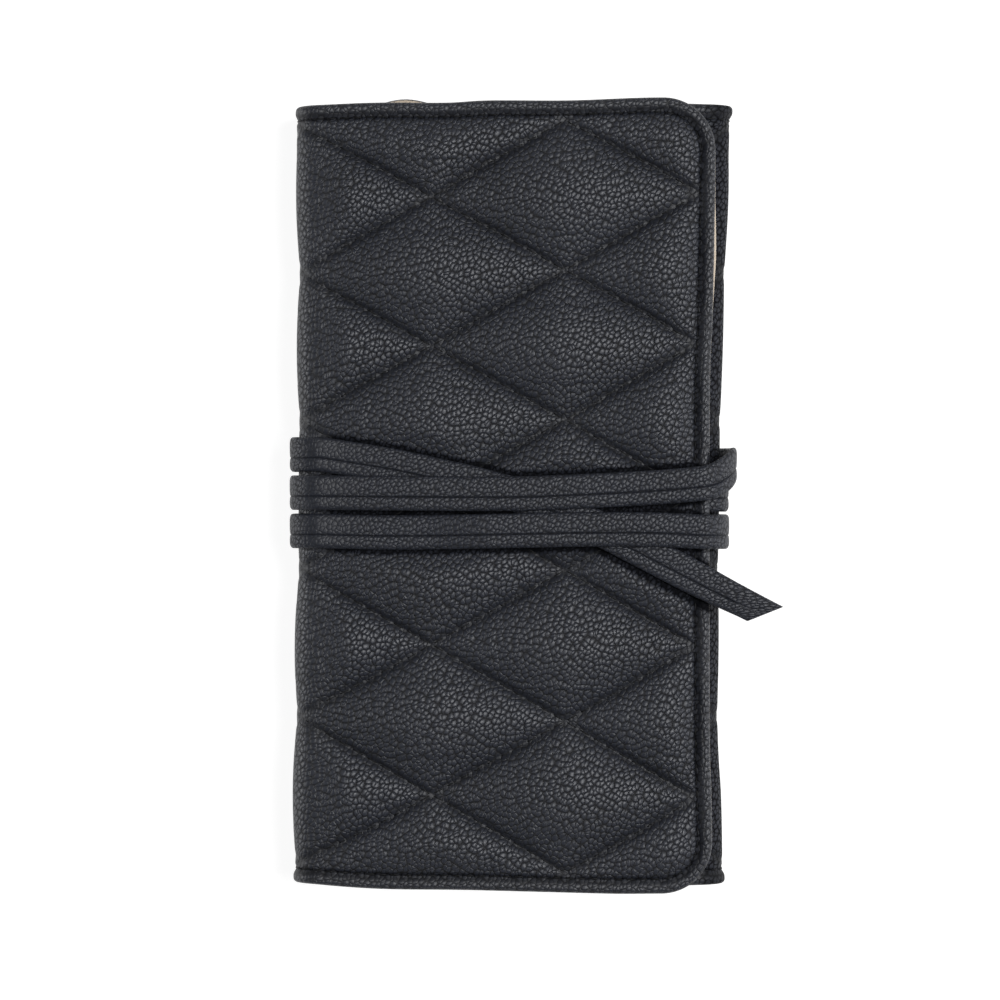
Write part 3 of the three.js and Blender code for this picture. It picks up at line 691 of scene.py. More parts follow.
# What is drawn in follows the right fold, and the rest follows the flap's edges.
def asItLies(points, drawnIn):
    x = points[..., 0]
    y = points[..., 1]
    eased = points.copy()
    atLeft = 1 - smoothStep(x, leftFold, leftFold + lie["reach"])
    foldFrom, foldTo = lie["foldReach"]
    short = lie["foldShort"] * (1 - smoothStep(x, leftFold + foldFrom, leftFold + foldTo)) ** 2
    eased[..., 0] -= through(lie["leftFold"], y) * atLeft
    if drawnIn:
        atRight = smoothStep(x, rightFold - lie["reach"], rightFold)
        eased[..., 0] += through(lie["rightFold"], y) * atRight
        near = np.clip(np.abs(x - lie["waveAt"]) / lie["waveHalf"], 0, 1)
        atEnd = smoothStep(y, halfLength - lie["waveReach"], halfLength)
        eased[..., 1] = y * (1 - short - lie["rightShort"] * atRight)
        eased[..., 1] += lie["wave"] * atEnd * np.cos(near * math.pi / 2) ** 2
    else:
        eased[..., 0] += through(lie["flapEdge"], y) * smoothStep(x, flapEdge - lie["edgeReach"], flapEdge)
        past = np.where(y > 0, through(lie["flapTop"], x), through(lie["flapBottom"], x))
        eased[..., 1] = y * (1 - short + past / halfLength)
    return eased


# Joins the edges of an upper and a lower grid, whose stops may differ
def zipSide(faces, upper, upperAt, lower, lowerAt):
    i = 0
    k = 0
    while i + 1 < len(upper) or k + 1 < len(lower):
        if k + 1 == len(lower) or (i + 1 < len(upper) and upperAt[i + 1] <= lowerAt[k + 1]):
            faces.append([int(upper[i]), int(upper[i + 1]), int(lower[k])])
            i += 1
        else:
            faces.append([int(upper[i]), int(lower[k + 1]), int(lower[k])])
            k += 1


underShift = 3 * mm  # moves the pattern on a lower face, so that the two faces differ


# A closed panel between an upper and a lower grid on a path round the folds
def panelPiece(name, lay, upper, lower, drawnIn, material):
    points = []
    flat = []
    grain = []
    valley = []
    faces = []
    grids = []
    first = 0
    for layer, (sList, vList, rise) in enumerate((upper, lower)):
        s, v = np.meshgrid(sList, vList, indexing="ij")
        s, v = roundCorners(s, v, lay["ends"], lay["half"])
        # the rise gives height, grain depth and painted shade
        height, relief, paintedShadeLevel = rise(s, v)
        if "proud" in lay:
            s = lay["proud"](s, v)
        x, z, outX, outZ = onPath(lay["path"], s)
        place = np.stack([x + outX * height, v + lay.get("middle", 0), z + outZ * height], axis=-1)
        ids = first + np.arange(s.size).reshape(s.shape)
        first += s.size
        points.append(asItLies(place, drawnIn).reshape(-1, 3))
        under = underShift * layer
        flat.append(np.stack([s - under, v * (1 + under / lay["half"])], axis=-1).reshape(-1, 2))
        grain.append(relief.ravel())
        valley.append(paintedShadeLevel.ravel())
        faces += gridFaces(ids)
        grids.append((ids, sList, vList))
    (top, sTop, vTop), (low, sLow, vLow) = grids
    for edge in (0, -1):
        zipSide(faces, top[edge], vTop, low[edge], vLow)
        zipSide(faces, top[:, edge], sTop, low[:, edge], sLow)
    looks = [np.concatenate(part) for part in (points, flat, grain, valley)]
    return addPiece(name, looks[0], faces, *looks[1:], material)


# Grid stops: those that a feature needs, and the even ones that keep clear of them
def stops(even, needed, gap):
    needed = np.unique(np.asarray(needed, float))
    kept = [e for e in even if needed[0] < e < needed[-1] and np.min(np.abs(needed - e)) > gap]
    return np.unique(np.concatenate([needed, kept]))


# Outer leather, one strip round both folds: s runs along it from the flap's free edge, v along the roll.
# A list of five holds the flap, the left fold, the back, the right fold and the inner panel.
quilt = {
    "foldRadius": 6 * mm,
    "seamInset": 4 * mm,
    "halfAlong": 20.5 * mm,
    "diamonds": 3,  # half diamonds between the left fold and the flap's edge seam
    "steps": 20,  # lattice steps to a half diamond in the simulation
    "smoothing": 3,
    "crowns": [3.9 * mm, 0.85 * mm, 3.2 * mm, 0.3 * mm, 0.8 * mm],
    "crownEase": 9 * mm,  # how far before a bend the value starts to change
    "depths": [3.5 * mm, 1.2 * mm, 3.5 * mm, 1.2 * mm, 2.6 * mm],
    "depthEase": 4 * mm,
    "grains": [1, 0.75, 1, 1, 1],
    "grainEase": 6 * mm,
    # painted shade by panel: only the right fold is painted darker
    "darks": [0, 0, 0, 0.35, 0],
    "darkEase": 3 * mm,
    "bendEase": 2 * mm,  # and how far into the bend it goes on
    "uneven": 0.06,  # no two neighbours are filled alike
    "unevenTurns": (1.7, 2.3),  # radians from one diamond to the next, across and along
    "fill": 0.7,
    "flapCorner": 14 * mm,
    "innerCorner": 6 * mm,
    "rim": 0.55 * mm,
    "rimRound": 1.3 * mm,
    "lowRound": 0.28,  # share of the depth that rounds the lower edge
    "lowGrain": 0.4,
    "leastGrain": 0.1,
    "split": 0.3 * mm,  # before the right fold's bend, where its leather starts
}
bendRadius = quilt["foldRadius"]
halfAcross = (flapWidth - quilt["seamInset"]) / quilt["diamonds"]
halfAlong = quilt["halfAlong"]
stepU = halfAcross / quilt["steps"]
stepV = halfAlong / quilt["steps"]
lineSpacing = 1 / math.hypot(1 / halfAcross, 1 / halfAlong)  # from one sewn line to the next, over two

skinPath, skinLength = foldPath(
    (flapEdge, flapLevel),
    [
        flapWidth - bendRadius,
        flapLevel - backLevel - 2 * bendRadius,
        rightFold - leftFold - 2 * bendRadius,
        innerLevel - backLevel - 2 * bendRadius,
        rightFold - bendRadius - innerEdge,
    ],
    bendRadius,
)
skinEnds = [(0.0, 1, quilt["flapCorner"]), (skinLength, -1, quilt["innerCorner"])]
skinStops = [part["at"] for part in skinPath]  # panels at even places, the bends between them at odd ones
midLeft = (skinStops[2] + skinStops[3]) / 2
backEnd = skinStops[5] - quilt["split"]
midRight = (skinStops[6] + skinStops[7]) / 2


def insideSkin(s, v):
    return insideEdge(s, v, skinEnds, skinLength, halfLength)


# A value for each panel, eased from one to the next through the folds
def byPanel(s, values, ease):
    flap, left, back, right, inner = values
    into = quilt["bendEase"]
    value = flap + (left - flap) * smoothStep(s, skinStops[1] - ease, skinStops[1] + into)
    value = value + (back - left) * smoothStep(s, skinStops[4] - into, skinStops[4] + ease)
    value = value + (right - back) * smoothStep(s, skinStops[5] - ease, skinStops[5] + into)
    return value + (inner - right) * smoothStep(s, skinStops[8] - into, skinStops[8] + ease)


# Distance to the nearest sewn diagonal of each way, as a share of half the way to the next one
def sewnShare(u, v):
    a = u / halfAcross + v / halfAlong
    b = u / halfAcross - v / halfAlong
    return np.abs(np.mod(a, 2) - 1), np.abs(np.mod(b, 2) - 1)


# The quilting's lattice on the flat strip: u from the left fold, v from the roll's middle
firstU = math.floor((flapWidth - skinLength) / stepU) - 1
lastU = math.ceil(flapWidth / stepU) + 1
lastV = math.ceil(halfLength / stepV) + 1
latticeU, latticeV = np.meshgrid(
    np.arange(firstU, lastU + 1) * stepU, np.arange(-lastV, lastV + 1) * stepV, indexing="ij"
)

puff = {
    "scale": 10.0,  # the sheet is simulated this much larger, at the scale that cloth settings suit
    "start": 0.85,  # share of the crown that the sheet starts with
    "crown": 2.6 * mm,
    "steep": 2.2,  # how steeply a diamond rises from its seams
    "border": 12 * mm,  # the rise from the edge seam
    "borderSteep": 2.4,
    "frames": 18,
    "cloth": {
        "quality": 6,
        "mass": 0.15,
        "tension_stiffness": 25,
        "compression_stiffness": 25,
        "shear_stiffness": 12,
        "bending_stiffness": 8.0,
        "air_damping": 2,
        "vertex_group_mass": "sewn",
        "use_pressure": True,
        "uniform_pressure_force": 8.0,
        "shrink_min": -0.004,
    },
    "held": 1e-4,  # rise under which the sheet is sewn down
    "full": 97,  # percentile of the heights that counts as the full crown
    "free": 0.012,  # rise over which it is smoothed
}


# The start of the quilting: a swell over each diamond, flat at its seams
def swell(u, v):
    a, b = sewnShare(u, v)
    border = np.clip((insideSkin(flapWidth - u, v) - quilt["seamInset"]) / puff["border"], 0, 1)
    risen = (1 - (1 - a) ** puff["steep"]) * (1 - (1 - b) ** puff["steep"])
    return risen * (1 - (1 - border) ** puff["borderSteep"])


# The leather and its wadding puffed up between its seams by cloth simulation on the flat strip
def puffedQuilt():
    rise = swell(latticeU, latticeV)
    rows, columns = latticeU.shape
    points = np.stack([latticeU, latticeV, puff["start"] * puff["crown"] * rise], axis=-1) * puff["scale"]
    mesh = bpy.data.meshes.new("quiltSheet")
    faces = gridFaces(np.arange(rows * columns).reshape(rows, columns))
    mesh.from_pydata(points.reshape(-1, 3).tolist(), [], faces)
    sheet = bpy.data.objects.new("quiltSheet", mesh)
    scene.collection.objects.link(sheet)
    sewn = sheet.vertex_groups.new(name="sewn")
    sewn.add(np.flatnonzero(rise.ravel() < puff["held"]).tolist(), 1.0, "REPLACE")
    puffing = sheet.modifiers.new("puff", "CLOTH")
    for key, value in puff["cloth"].items():
        setattr(puffing.settings, key, value)
    puffing.settings.effector_weights.gravity = 0
    puffing.collision_settings.use_collision = False
    for frameNumber in range(1, puff["frames"] + 1):
        scene.frame_set(frameNumber)
    puffed = sheet.evaluated_get(bpy.context.evaluated_depsgraph_get()).to_mesh()
    heights = np.zeros(len(puffed.vertices) * 3)
    puffed.vertices.foreach_get("co", heights)
    rise = heights.reshape(rows, columns, 3)[..., 2] / puff["scale"]
    bpy.data.objects.remove(sheet)
    scene.frame_set(1)
    print("quilt puffed, highest", round(float(rise.max()) / mm, 2), "mm")
    return np.maximum(rise, 0) / np.percentile(rise, puff["full"])


# The lattice made twice as fine. A place on a sewn diagonal takes its height from that line alone.
def finerLattice(rise):
    n = quilt["steps"]
    i = np.arange(firstU, lastU)[:, None]
    j = np.arange(-lastV, lastV)[None, :]
    rising = (rise[:-1, :-1] + rise[1:, 1:]) / 2
    falling = (rise[1:, :-1] + rise[:-1, 1:]) / 2
    middle = np.where(np.mod(i + j + 1, 2 * n) == n, falling, (rising + falling) / 2)
    middle = np.where(np.mod(i - j, 2 * n) == n, rising, middle)
    fine = np.zeros((2 * rise.shape[0] - 1, 2 * rise.shape[1] - 1))
    fine[::2, ::2] = rise
    fine[1::2, ::2] = (rise[:-1] + rise[1:]) / 2
    fine[::2, 1::2] = (rise[:, :-1] + rise[:, 1:]) / 2
    fine[1::2, 1::2] = middle
    free = fine > puff["free"]
    for _ in range(quilt["smoothing"]):
        around = fine.copy()
        around[1:-1, 1:-1] = (fine[:-2, 1:-1] + fine[2:, 1:-1] + fine[1:-1, :-2] + fine[1:-1, 2:]) / 4
        fine = np.where(free, (fine + around) / 2, fine)
    return fine


def latticeHeight(fine, s, v):
    i = np.clip((flapWidth - s) / (stepU / 2) - 2 * firstU, 0, fine.shape[0] - 1.001)
    j = np.clip(v / (stepV / 2) + 2 * lastV, 0, fine.shape[1] - 1.001)
    i0 = np.floor(i + 1e-6).astype(int)
    j0 = np.floor(j + 1e-6).astype(int)
    a = np.clip(i - i0, 0, 1)
    b = np.clip(j - j0, 0, 1)
    low = fine[i0, j0] * (1 - b) + fine[i0, j0 + 1] * b
    high = fine[i0 + 1, j0] * (1 - b) + fine[i0 + 1, j0 + 1] * b
    return low * (1 - a) + high * a


# Where the strap lies, the quilting is pressed down under it.
press = {
    "height": 1.2 * mm,  # of the flap under the strap
    "sink": 0.05 * mm,
    "half": 5 * mm,  # of the band that is pressed flat
    "shadeEnd": 6.8 * mm,
    "slope": 0.45,  # how steeply the quilting rises beside it
    "backHeight": 0.12 * mm,
    "backHalf": 17 * mm,  # one band under all three turns
    "backReach": 8 * mm,  # before the left fold, where the back's band takes over
    "free": 10 * mm,  # more than the quilting is high, on the inner panel
    "freeReach": 4 * mm,
}

# Tie strap: its route is the CAD part's, with X and Y in millimetres
strap = {
    "width": 9.5 * mm,
    "seat": 1.1 * mm,  # leather to the middle of the strap
    "pitch": 2.15 * mm,  # from one layer of strap to the next
    "row": 10.5 * mm,
    "middle": 0.5 * mm,  # the middle turn at the left fold
    "topBend": 8 * mm,
    "anchorBend": 5 * mm,
    "anchorDepth": 3.4 * mm,
    "anchorDrop": 2.5 * mm,  # flap's channels to the sewn end
    "first": [(-30, -10.4), (0, -9.9), (22, -9.5), (40, -9.6)],
    "second": [(-30, 0.3), (0, 0.2), (15, 0.7), (30, 1.4), (43, 2.2)],
    "third": [
        (-42, 9.4), (-31, 7.5), (-20, 5.1), (-9, 2.6), (8, -2.3),
        (24, -9.4), (35, -15), (48, -21.8), (58, -27), (68.5, -32.3),
    ],
    "firstRight": -10.2 * mm,
    "secondRight": 3 * mm,
    "secondSlant": 5.2 * mm,  # how far the second turn climbs on its way down the right fold
    "firstLift": (-24 * mm, -6 * mm),  # X where the first turn climbs over the tail
    "thirdDrop": (-12 * mm, 10 * mm),  # and where the third comes off the others, on the back
    "ring": 0.9 * mm,  # from one ring of its mesh to the next
    "bendSteps": 13,
    "backSteps": 60,
    "slack": 0.7 * mm,  # it stands off the left fold
    "drawnIn": 0.65 * mm,  # and follows the right one
    "length": 0.883,
    "groove": 0.95 * mm,  # from the middle of the strap to its stitched groove
    "grooveEnd": (5.4 * mm, 9 * mm),  # from the tip, where the groove fades out
    "grooveDepth": 0.1 * mm,  # what is cut deeper has little grain
    "tip": 0.84,  # share of its width that is left at the tip
    "tipReach": 26 * mm,
    "cut": 4.2 * mm,
    "cutReach": 14 * mm,
    "past": 0.8 * mm,  # how far the tip lies past the route's end
    "pastReach": 20 * mm,
    "grain": 0.7,
    "grooveGrain": 0.3,  # share of the grain in the groove
    "strain": 0.4,  # grain that is drawn out after the left bend
    "strainFrom": (1.5 * mm, 4 * mm),
    "strainTo": (8 * mm, 24 * mm),
    "stitch": 3.3 * mm,
    "stitchShare": 0.74,
    "stitchStart": 6 * mm,
    "threadLevel": 0.42 * mm,
    "thread": 0.14 * mm,
    "flatAt": 31.3 * mm,  # in the open poses it is pressed flat against the flap's outside
    "flatShare": 0.068,
}
strapBend = bendRadius + strap["seat"]
strapBottom = backLevel - strap["seat"]
strapTop = flapLevel + press["height"] + strap["seat"]
strapLeft = leftFold - strap["seat"]
strapRight = rightFold + strap["seat"]
bendLeft = strapLeft + strapBend
bendRight = strapRight - strapBend
flapRight = strapRight - strap["topBend"]
strapRows = [strap["middle"] + turn * strap["row"] for turn in (-1, 0, 1)]

# Strap's section from its upper edge over the outer face, in millimetres: across, out, and how deep the
# groove cuts there
strapSection = [
    (-4.75, -0.1, 0), (-4.68, 0.18, 0), (-4.5, 0.42, 0), (-4.2, 0.6, 0), (-3.8, 0.72, 0), (-3.2, 0.79, 0),
    (-2.0, 0.8, 0), (-0.5, 0.78, 0), (0.3, 0.72, 0), (0.68, 0.7, 0.04), (0.84, 0.69, 0.14),
    (0.95, 0.69, 0.24), (1.06, 0.69, 0.14), (1.22, 0.7, 0.04), (1.6, 0.72, 0), (2.4, 0.78, 0),
    (3.2, 0.76, 0), (3.8, 0.68, 0), (4.25, 0.5, 0), (4.55, 0.26, 0), (4.72, 0.0, 0), (4.7, -0.4, 0),
    (4.4, -0.74, 0), (0.0, -0.8, 0), (-4.4, -0.74, 0), (-4.7, -0.45, 0),
]


# The three runs over the flap
def strapRuns():
    runs = []
    for turn, row in zip(("first", "second", "third"), strapRows):
        run = [(bendLeft, row), *((x * mm, y * mm) for x, y in strap[turn])]
        if turn != "third":
            run.append((flapRight, strap[f"{turn}Right"]))
        runs.append(smoothRun(run, 2 * strap["ring"]))
    return runs


# The strap's middle line with the way that its flat face looks, from its sewn end to its free tip
def strapLine(runs):
    line = []

    def add(x, y, z, outX, outZ, layer):
        lift = layer * strap["pitch"]
        line.append((x + outX * lift, y, z + outZ * lift, outX, 0, outZ))

    def bend(x, z, radius, start, yFrom, yTo, layerFrom, layerTo):
        for t in np.linspace(0, 1, strap["bendSteps"]):
            angle = start - t * math.pi / 2
            ease = smoothStep(t, 0, 1)
            out = (math.cos(angle), math.sin(angle))
            y = yFrom + (yTo - yFrom) * ease
            layer = layerFrom + (layerTo - layerFrom) * ease
            add(x + radius * out[0], y, z + radius * out[1], *out, layer)

    def downRight(y, layerFrom, layerTo):
        bend(bendRight, strapBottom + strapBend, strapBend, 0, y, y, layerFrom, layerTo)

    def upLeft(y, layerFrom, layerTo):
        bend(bendLeft, strapBottom + strapBend, strapBend, -math.pi / 2, y, y, layerFrom, 0)
        bend(bendLeft, strapTop - strapBend, strapBend, math.pi, y, y, 0, layerTo)

    def overEdge(yFrom, yTo, layerFrom, layerTo):
        top = strapTop - strap["topBend"]
        bend(flapRight, top, strap["topBend"], math.pi / 2, yFrom, yTo, layerFrom, layerTo)

    def acrossBack(yFrom, yTo, layerAt):
        for t in np.linspace(0, 1, strap["backSteps"])[1:-1]:
            x = bendRight + (bendLeft - bendRight) * t
            add(x, yFrom + (yTo - yFrom) * smoothStep(t, 0, 1), strapBottom, 0, -1, layerAt(x))

    def acrossFlap(run, layerAt):
        for x, y in run[1:-1]:
            add(x, y, strapTop, 0, 1, layerAt(x))

    first, second, third = runs
    firstRight = strap["firstRight"]
    secondRight = strap["secondRight"]
    slanted = secondRight + strap["secondSlant"]
    anchorLevel = flapLevel - strap["anchorDrop"]
    anchorBend = strap["anchorBend"]
    add(flapEdge - strap["anchorDepth"], 0, anchorLevel, 0, 1, 0)
    bend(strapRight - anchorBend, anchorLevel - anchorBend, anchorBend, math.pi / 2, 0, 0, 0, 0)
    downRight(0, 0, 0)
    acrossBack(0, strapRows[0], lambda x: 0)
    upLeft(strapRows[0], 0, 0)
    acrossFlap(first, lambda x: smoothStep(x, *strap["firstLift"]))
    overEdge(firstRight, firstRight, 1, 0)
    downRight(firstRight, 0, 1)
    acrossBack(firstRight, strapRows[1], lambda x: 1)
    upLeft(strapRows[1], 1, 1)
    acrossFlap(second, lambda x: 1)
    overEdge(secondRight, slanted, 1, 1)
    downRight(slanted, 1, 1)
    acrossBack(slanted, strapRows[2], lambda x: smoothStep(x, *strap["thirdDrop"]))
    upLeft(strapRows[2], 0, 0)
    acrossFlap(third, lambda x: 0)
    add(*third[-1], strapTop, 0, 1, 0)
    return spaced(line, strap["ring"])


def strapFrames(runs):
    line = strapLine(runs)
    points = line[:, :3]
    points[:, 0] += np.where(line[:, 3] > 0, -strap["drawnIn"], strap["slack"]) * line[:, 3]
    along = unit(np.gradient(points, axis=0))
    across = unit(np.cross(along, line[:, 3:]))
    return points, along, across, np.cross(across, along)


def strapThreadPiece(points, across, out, material):
    walked = walkedAlong(points)
    starts = np.arange(strap["stitchStart"], walked[-1] - strap["grooveEnd"][1], strap["stitch"])
    places = []
    for at in (starts, starts + strap["stitchShare"] * strap["stitch"]):
        up = valuesAt(at, walked, out)
        side = valuesAt(at, walked, across)
        places.append(valuesAt(at, walked, points) + side * strap["groove"] + up * strap["threadLevel"])
    ups = unit(valuesAt(starts, walked, out))
    return threadPiece("strapThread", *places, ups, strap["thread"], material)


def strapPiece(points, along, across, out, material):
    walked = walkedAlong(points)
    left = walked[-1] - walked
    section = np.array(strapSection) * mm
    narrow = 1 - (1 - strap["tip"]) * (1 - smoothStep(left, 0, strap["tipReach"]))
    width = section[:, 0][None, :, None] * narrow[:, None, None]
    grooved = smoothStep(left, *strap["grooveEnd"])[:, None]
    lift = section[:, 1][None, :] - section[:, 2][None, :] * grooved
    slant = strap["cut"] / (strap["width"] / 2) * (1 - smoothStep(left, 0, strap["cutReach"]))
    past = strap["past"] * (1 - smoothStep(left, 0, strap["pastReach"]))
    rings = points[:, None] + across[:, None] * width + out[:, None] * lift[..., None]
    rings = rings + along[:, None] * (past[:, None, None] - slant[:, None, None] * width)
    girth = walkedAlong(section[:, :2])
    flat = np.stack(np.broadcast_arrays(walked[:, None], girth[None, :]), axis=-1).reshape(-1, 2)
    fromBend = points[:, 0] - strapLeft
    strained = smoothStep(fromBend, *strap["strainFrom"]) * (1 - smoothStep(fromBend, *strap["strainTo"]))
    inGroove = np.where(section[:, 2] > strap["grooveDepth"], strap["grooveGrain"], 1.0)
    grain = ((strap["grain"] - strap["strain"] * strained)[:, None] * inGroove).ravel()
    return addPiece("tieStrap", rings.reshape(-1, 3), sweep(rings), flat, grain, None, material, sharp=70)


# The height that the strap leaves to the quilting, and where shade is painted on the flap under and beside
# it
def strapLimit(s, v, runs):
    x = flapEdge - s
    apart = np.full(np.shape(s), 1.0)
    for run in runs:
        for (ax, ay), (bx, by) in zip(run[::3], run[3::3]):
            span = (bx - ax) ** 2 + (by - ay) ** 2
            t = np.clip(((x - ax) * (bx - ax) + (v - ay) * (by - ay)) / span, 0, 1)
            apart = np.minimum(apart, np.hypot(x - ax - t * (bx - ax), v - ay - t * (by - ay)))
    onFlap = press["height"] - press["sink"] + press["slope"] * np.maximum(0, apart - press["half"])
    underneath = press["backHeight"] + press["slope"] * np.maximum(0, np.abs(v) - press["backHalf"])
    share = smoothStep(s, skinStops[1] - press["backReach"], skinStops[1] + quilt["bendEase"])
    limit = onFlap * (1 - share) + underneath * share
    # pressed: where shade is painted on the flap, full under the strap and fading out beside it
    pressed = (1 - smoothStep(apart, press["half"], press["shadeEnd"])) * (1 - share)
    return limit + press["free"] * smoothStep(s, skinStops[7], skinStops[8] + press["freeReach"]), pressed


# What the sewing does: depths and half widths, how much grain it presses out, and how much shade is painted
# on the leather beside it
seam = {
    "pucker": 0.2 * mm,  # at each stitch hole of the quilting
    "puckerWidth": 1.6 * mm,
    "pinch": 0.35 * mm,  # the thread draws the leather in along its line
    "pinchWidth": 0.9 * mm,
    "pressed": 0.65,
    "pressedWidth": 1.4 * mm,
    # painted shade along the sewn lines
    "dark": 0.17,
    "darkWidth": 1.1 * mm,
    "groove": 0.28 * mm,  # along the edge seam
    "grooveWidth": 0.45 * mm,
    # painted shade in the edge seam's groove
    "grooveDark": 0.45,
    "slope": 0.9 * mm,  # the smooth slope between the edge seam and the rim
    "slopePressed": 0.55,
    # painted shade on that slope
    "slopeDark": 0.22,
    "rise": (0.3 * mm, 1.9 * mm),  # outside the edge seam, where the rim rises
    "rimPressed": 0.35,
    "underStrap": 0.8,  # how much shade is painted on the flap under and beside the strap
    "limitEase": 0.15 * mm,
    "limitLift": 0.1 * mm,
    "border": 1 * mm,
}


# Height of the outer leather over its sewn channels, how deep its grain shows, and how much shade is painted
# on it
def skinTop(fine, runs, s, v):
    u = flapWidth - s
    inside = insideSkin(s, v)
    inset = inside - quilt["seamInset"]
    turnAcross, turnAlong = quilt["unevenTurns"]
    diamond = np.round(u / halfAcross) * turnAcross + np.round(v / halfAlong) * turnAlong
    crown = byPanel(s, quilt["crowns"], quilt["crownEase"]) * (1 + quilt["uneven"] * np.sin(diamond))
    quilted = np.clip(inset / seam["border"], 0, 1)
    limit, pressed = strapLimit(s, v, runs)
    height = softMin(crown * latticeHeight(fine, s, v), limit, seam["limitEase"]) + seam["limitLift"]
    nearest = np.minimum(*sewnShare(u, v)) * lineSpacing
    hole = 0.5 + 0.5 * np.cos(math.pi * u / stepU)
    height = height - seam["pucker"] * hole * bell(nearest, seam["puckerWidth"])
    height = height - seam["pinch"] * bell(nearest, seam["pinchWidth"])
    turned = smoothStep(-inset, *seam["rise"])
    groove = bell(inset, seam["grooveWidth"])
    slope = bell(inset + seam["slope"], seam["slope"])
    past = np.clip(quilt["rimRound"] - inside, 0, quilt["rimRound"])
    roll = quilt["rimRound"] - np.sqrt(np.maximum(quilt["rimRound"] ** 2 - past**2, 0))
    height = quilted * height + quilt["rim"] * turned - seam["groove"] * groove - roll
    grain = 1 - seam["pressed"] * quilted * bell(nearest, seam["pressedWidth"])
    grain = grain - seam["rimPressed"] * turned - seam["slopePressed"] * slope
    grain = np.clip(grain * byPanel(s, quilt["grains"], quilt["grainEase"]), quilt["leastGrain"], 1)
    # painted shade: darker along the sewn lines, in the edge groove and on its slope, on the right fold and
    # on the flap under the strap
    valley = seam["dark"] * quilted * bell(nearest, seam["darkWidth"])
    for dark in (
        byPanel(s, quilt["darks"], quilt["darkEase"]),
        seam["grooveDark"] * groove,
        seam["slopeDark"] * slope,
        seam["underStrap"] * pressed,
    ):
        valley = np.maximum(valley, dark)
    return height, grain, valley


def skinLow(s, v):
    depth = byPanel(s, quilt["depths"], quilt["depthEase"])
    edgeRound = quilt["lowRound"] * depth
    past = np.clip(edgeRound - insideSkin(s, v), 0, None)
    roll = edgeRound - np.sqrt(np.maximum(edgeRound**2 - past**2, 0))
    return roll - depth, np.full(np.shape(s), quilt["lowGrain"]), np.zeros(np.shape(s))


# Grid lines of the leather: close across its edges and the edge seam, even elsewhere
edgeStops = np.array([0, 0.1, 0.3, 0.6, 0.95, 1.3, 2.0, 2.8, 3.2, 3.55, 3.8, 4.0, 4.2, 4.45, 5.0]) * mm
lowStops = np.array([0, 0.3, 0.7, 1.2, 4, 8, 12.4]) * mm
skinGrid = {
    "lowAcross": 1.5 * mm,
    "lowAlong": 4 * mm,
    "lowRows": 26,  # on each side of the middle
    "topGaps": (0.25 * mm, 0.2 * mm),  # least gap between two stops, along the strip and across it
    "lowGaps": (0.6 * mm, 1 * mm),
}
skinLay = {"path": skinPath, "ends": skinEnds, "half": halfLength}
evenU = flapWidth - np.arange(2 * firstU, 2 * lastU + 1) * stepU / 2
evenV = np.arange(-2 * lastV, 2 * lastV + 1) * stepV / 2
lowEven = np.arange(-skinGrid["lowRows"], skinGrid["lowRows"] + 1) * skinGrid["lowAlong"]
topV = stops(evenV, [*(edgeStops - halfLength), *(halfLength - edgeStops)], skinGrid["topGaps"][1])
lowV = stops(lowEven, [*(lowStops - halfLength), *(halfLength - lowStops)], skinGrid["lowGaps"][1])


def leatherPiece(name, sFrom, sTo, fine, runs, drawnIn, material):
    needed = [sFrom, sTo]
    under = [sFrom, sTo]
    if sFrom == 0:
        needed += list(edgeStops)
        under += list(lowStops)
    if sTo == skinLength:
        needed += list(skinLength - edgeStops)
        under += list(skinLength - lowStops)
    topS = stops(evenU, needed, skinGrid["topGaps"][0])
    lowS = stops(np.arange(sFrom, sTo, skinGrid["lowAcross"]), under, skinGrid["lowGaps"][0])
    upper = (topS, topV, lambda s, v: skinTop(fine, runs, s, v))
    return panelPiece(name, skinLay, upper, (lowS, lowV, skinLow), drawnIn, material)


sewing = {
    "pitch": 3.4 * mm,  # of the edge seam
    "lines": 31,  # sewn diagonals of each way, more than the strip has
    "thread": 0.24 * mm,
    "clear": 0.8 * mm,  # from the last stitch of a diagonal to the edge seam
    "slip": 0.1 * mm,  # how far outside its line a stitch of the edge seam may come
    "cornerSteps": 10,
}


# Stitch holes of the quilting and of the edge seam, as pairs of places on the unrolled leather
def seamStitches():
    n = quilt["steps"]
    pairs = []
    odd = np.arange(-sewing["lines"], sewing["lines"] + 1, 2) * n
    i = np.arange(firstU - firstU % 2, lastU, 2)
    for way in (1, -1):
        m, column = np.meshgrid(odd, i)
        j = way * (m - column)
        starts = np.stack([flapWidth - column * stepU, j * stepV], axis=-1).reshape(-1, 2)
        ends = np.stack([flapWidth - (column + 2) * stepU, (j - 2 * way) * stepV], axis=-1).reshape(-1, 2)
        pairs.append((starts, ends))
    inset = quilt["seamInset"]
    for edge, inward, radius in skinEnds:
        arc = radius - inset
        turn = np.linspace(0, math.pi / 2, sewing["cornerSteps"])
        cornerS = edge + inward * (radius - arc * np.cos(turn))
        corner = np.stack([cornerS, halfLength - radius + arc * np.sin(turn)], axis=1)
        line = spaced(np.concatenate([corner[::-1], corner * [1, -1]]), sewing["pitch"])
        pairs.append((line[:-1], line[1:]))
    for side in (1, -1):
        along = np.arange(quilt["flapCorner"], skinLength - quilt["innerCorner"], sewing["pitch"])
        line = np.stack([along, np.full(len(along), side * (halfLength - inset))], axis=1)
        pairs.append((line[:-1], line[1:]))
    starts = np.concatenate([pair[0] for pair in pairs])
    ends = np.concatenate([pair[1] for pair in pairs])
    least = np.minimum(insideSkin(*starts.T), insideSkin(*ends.T))
    border = np.arange(len(starts)) >= len(pairs[0][0]) * 2
    kept = (least > inset + sewing["clear"]) | (border & (least > inset - sewing["slip"]))
    return starts[kept], ends[kept]


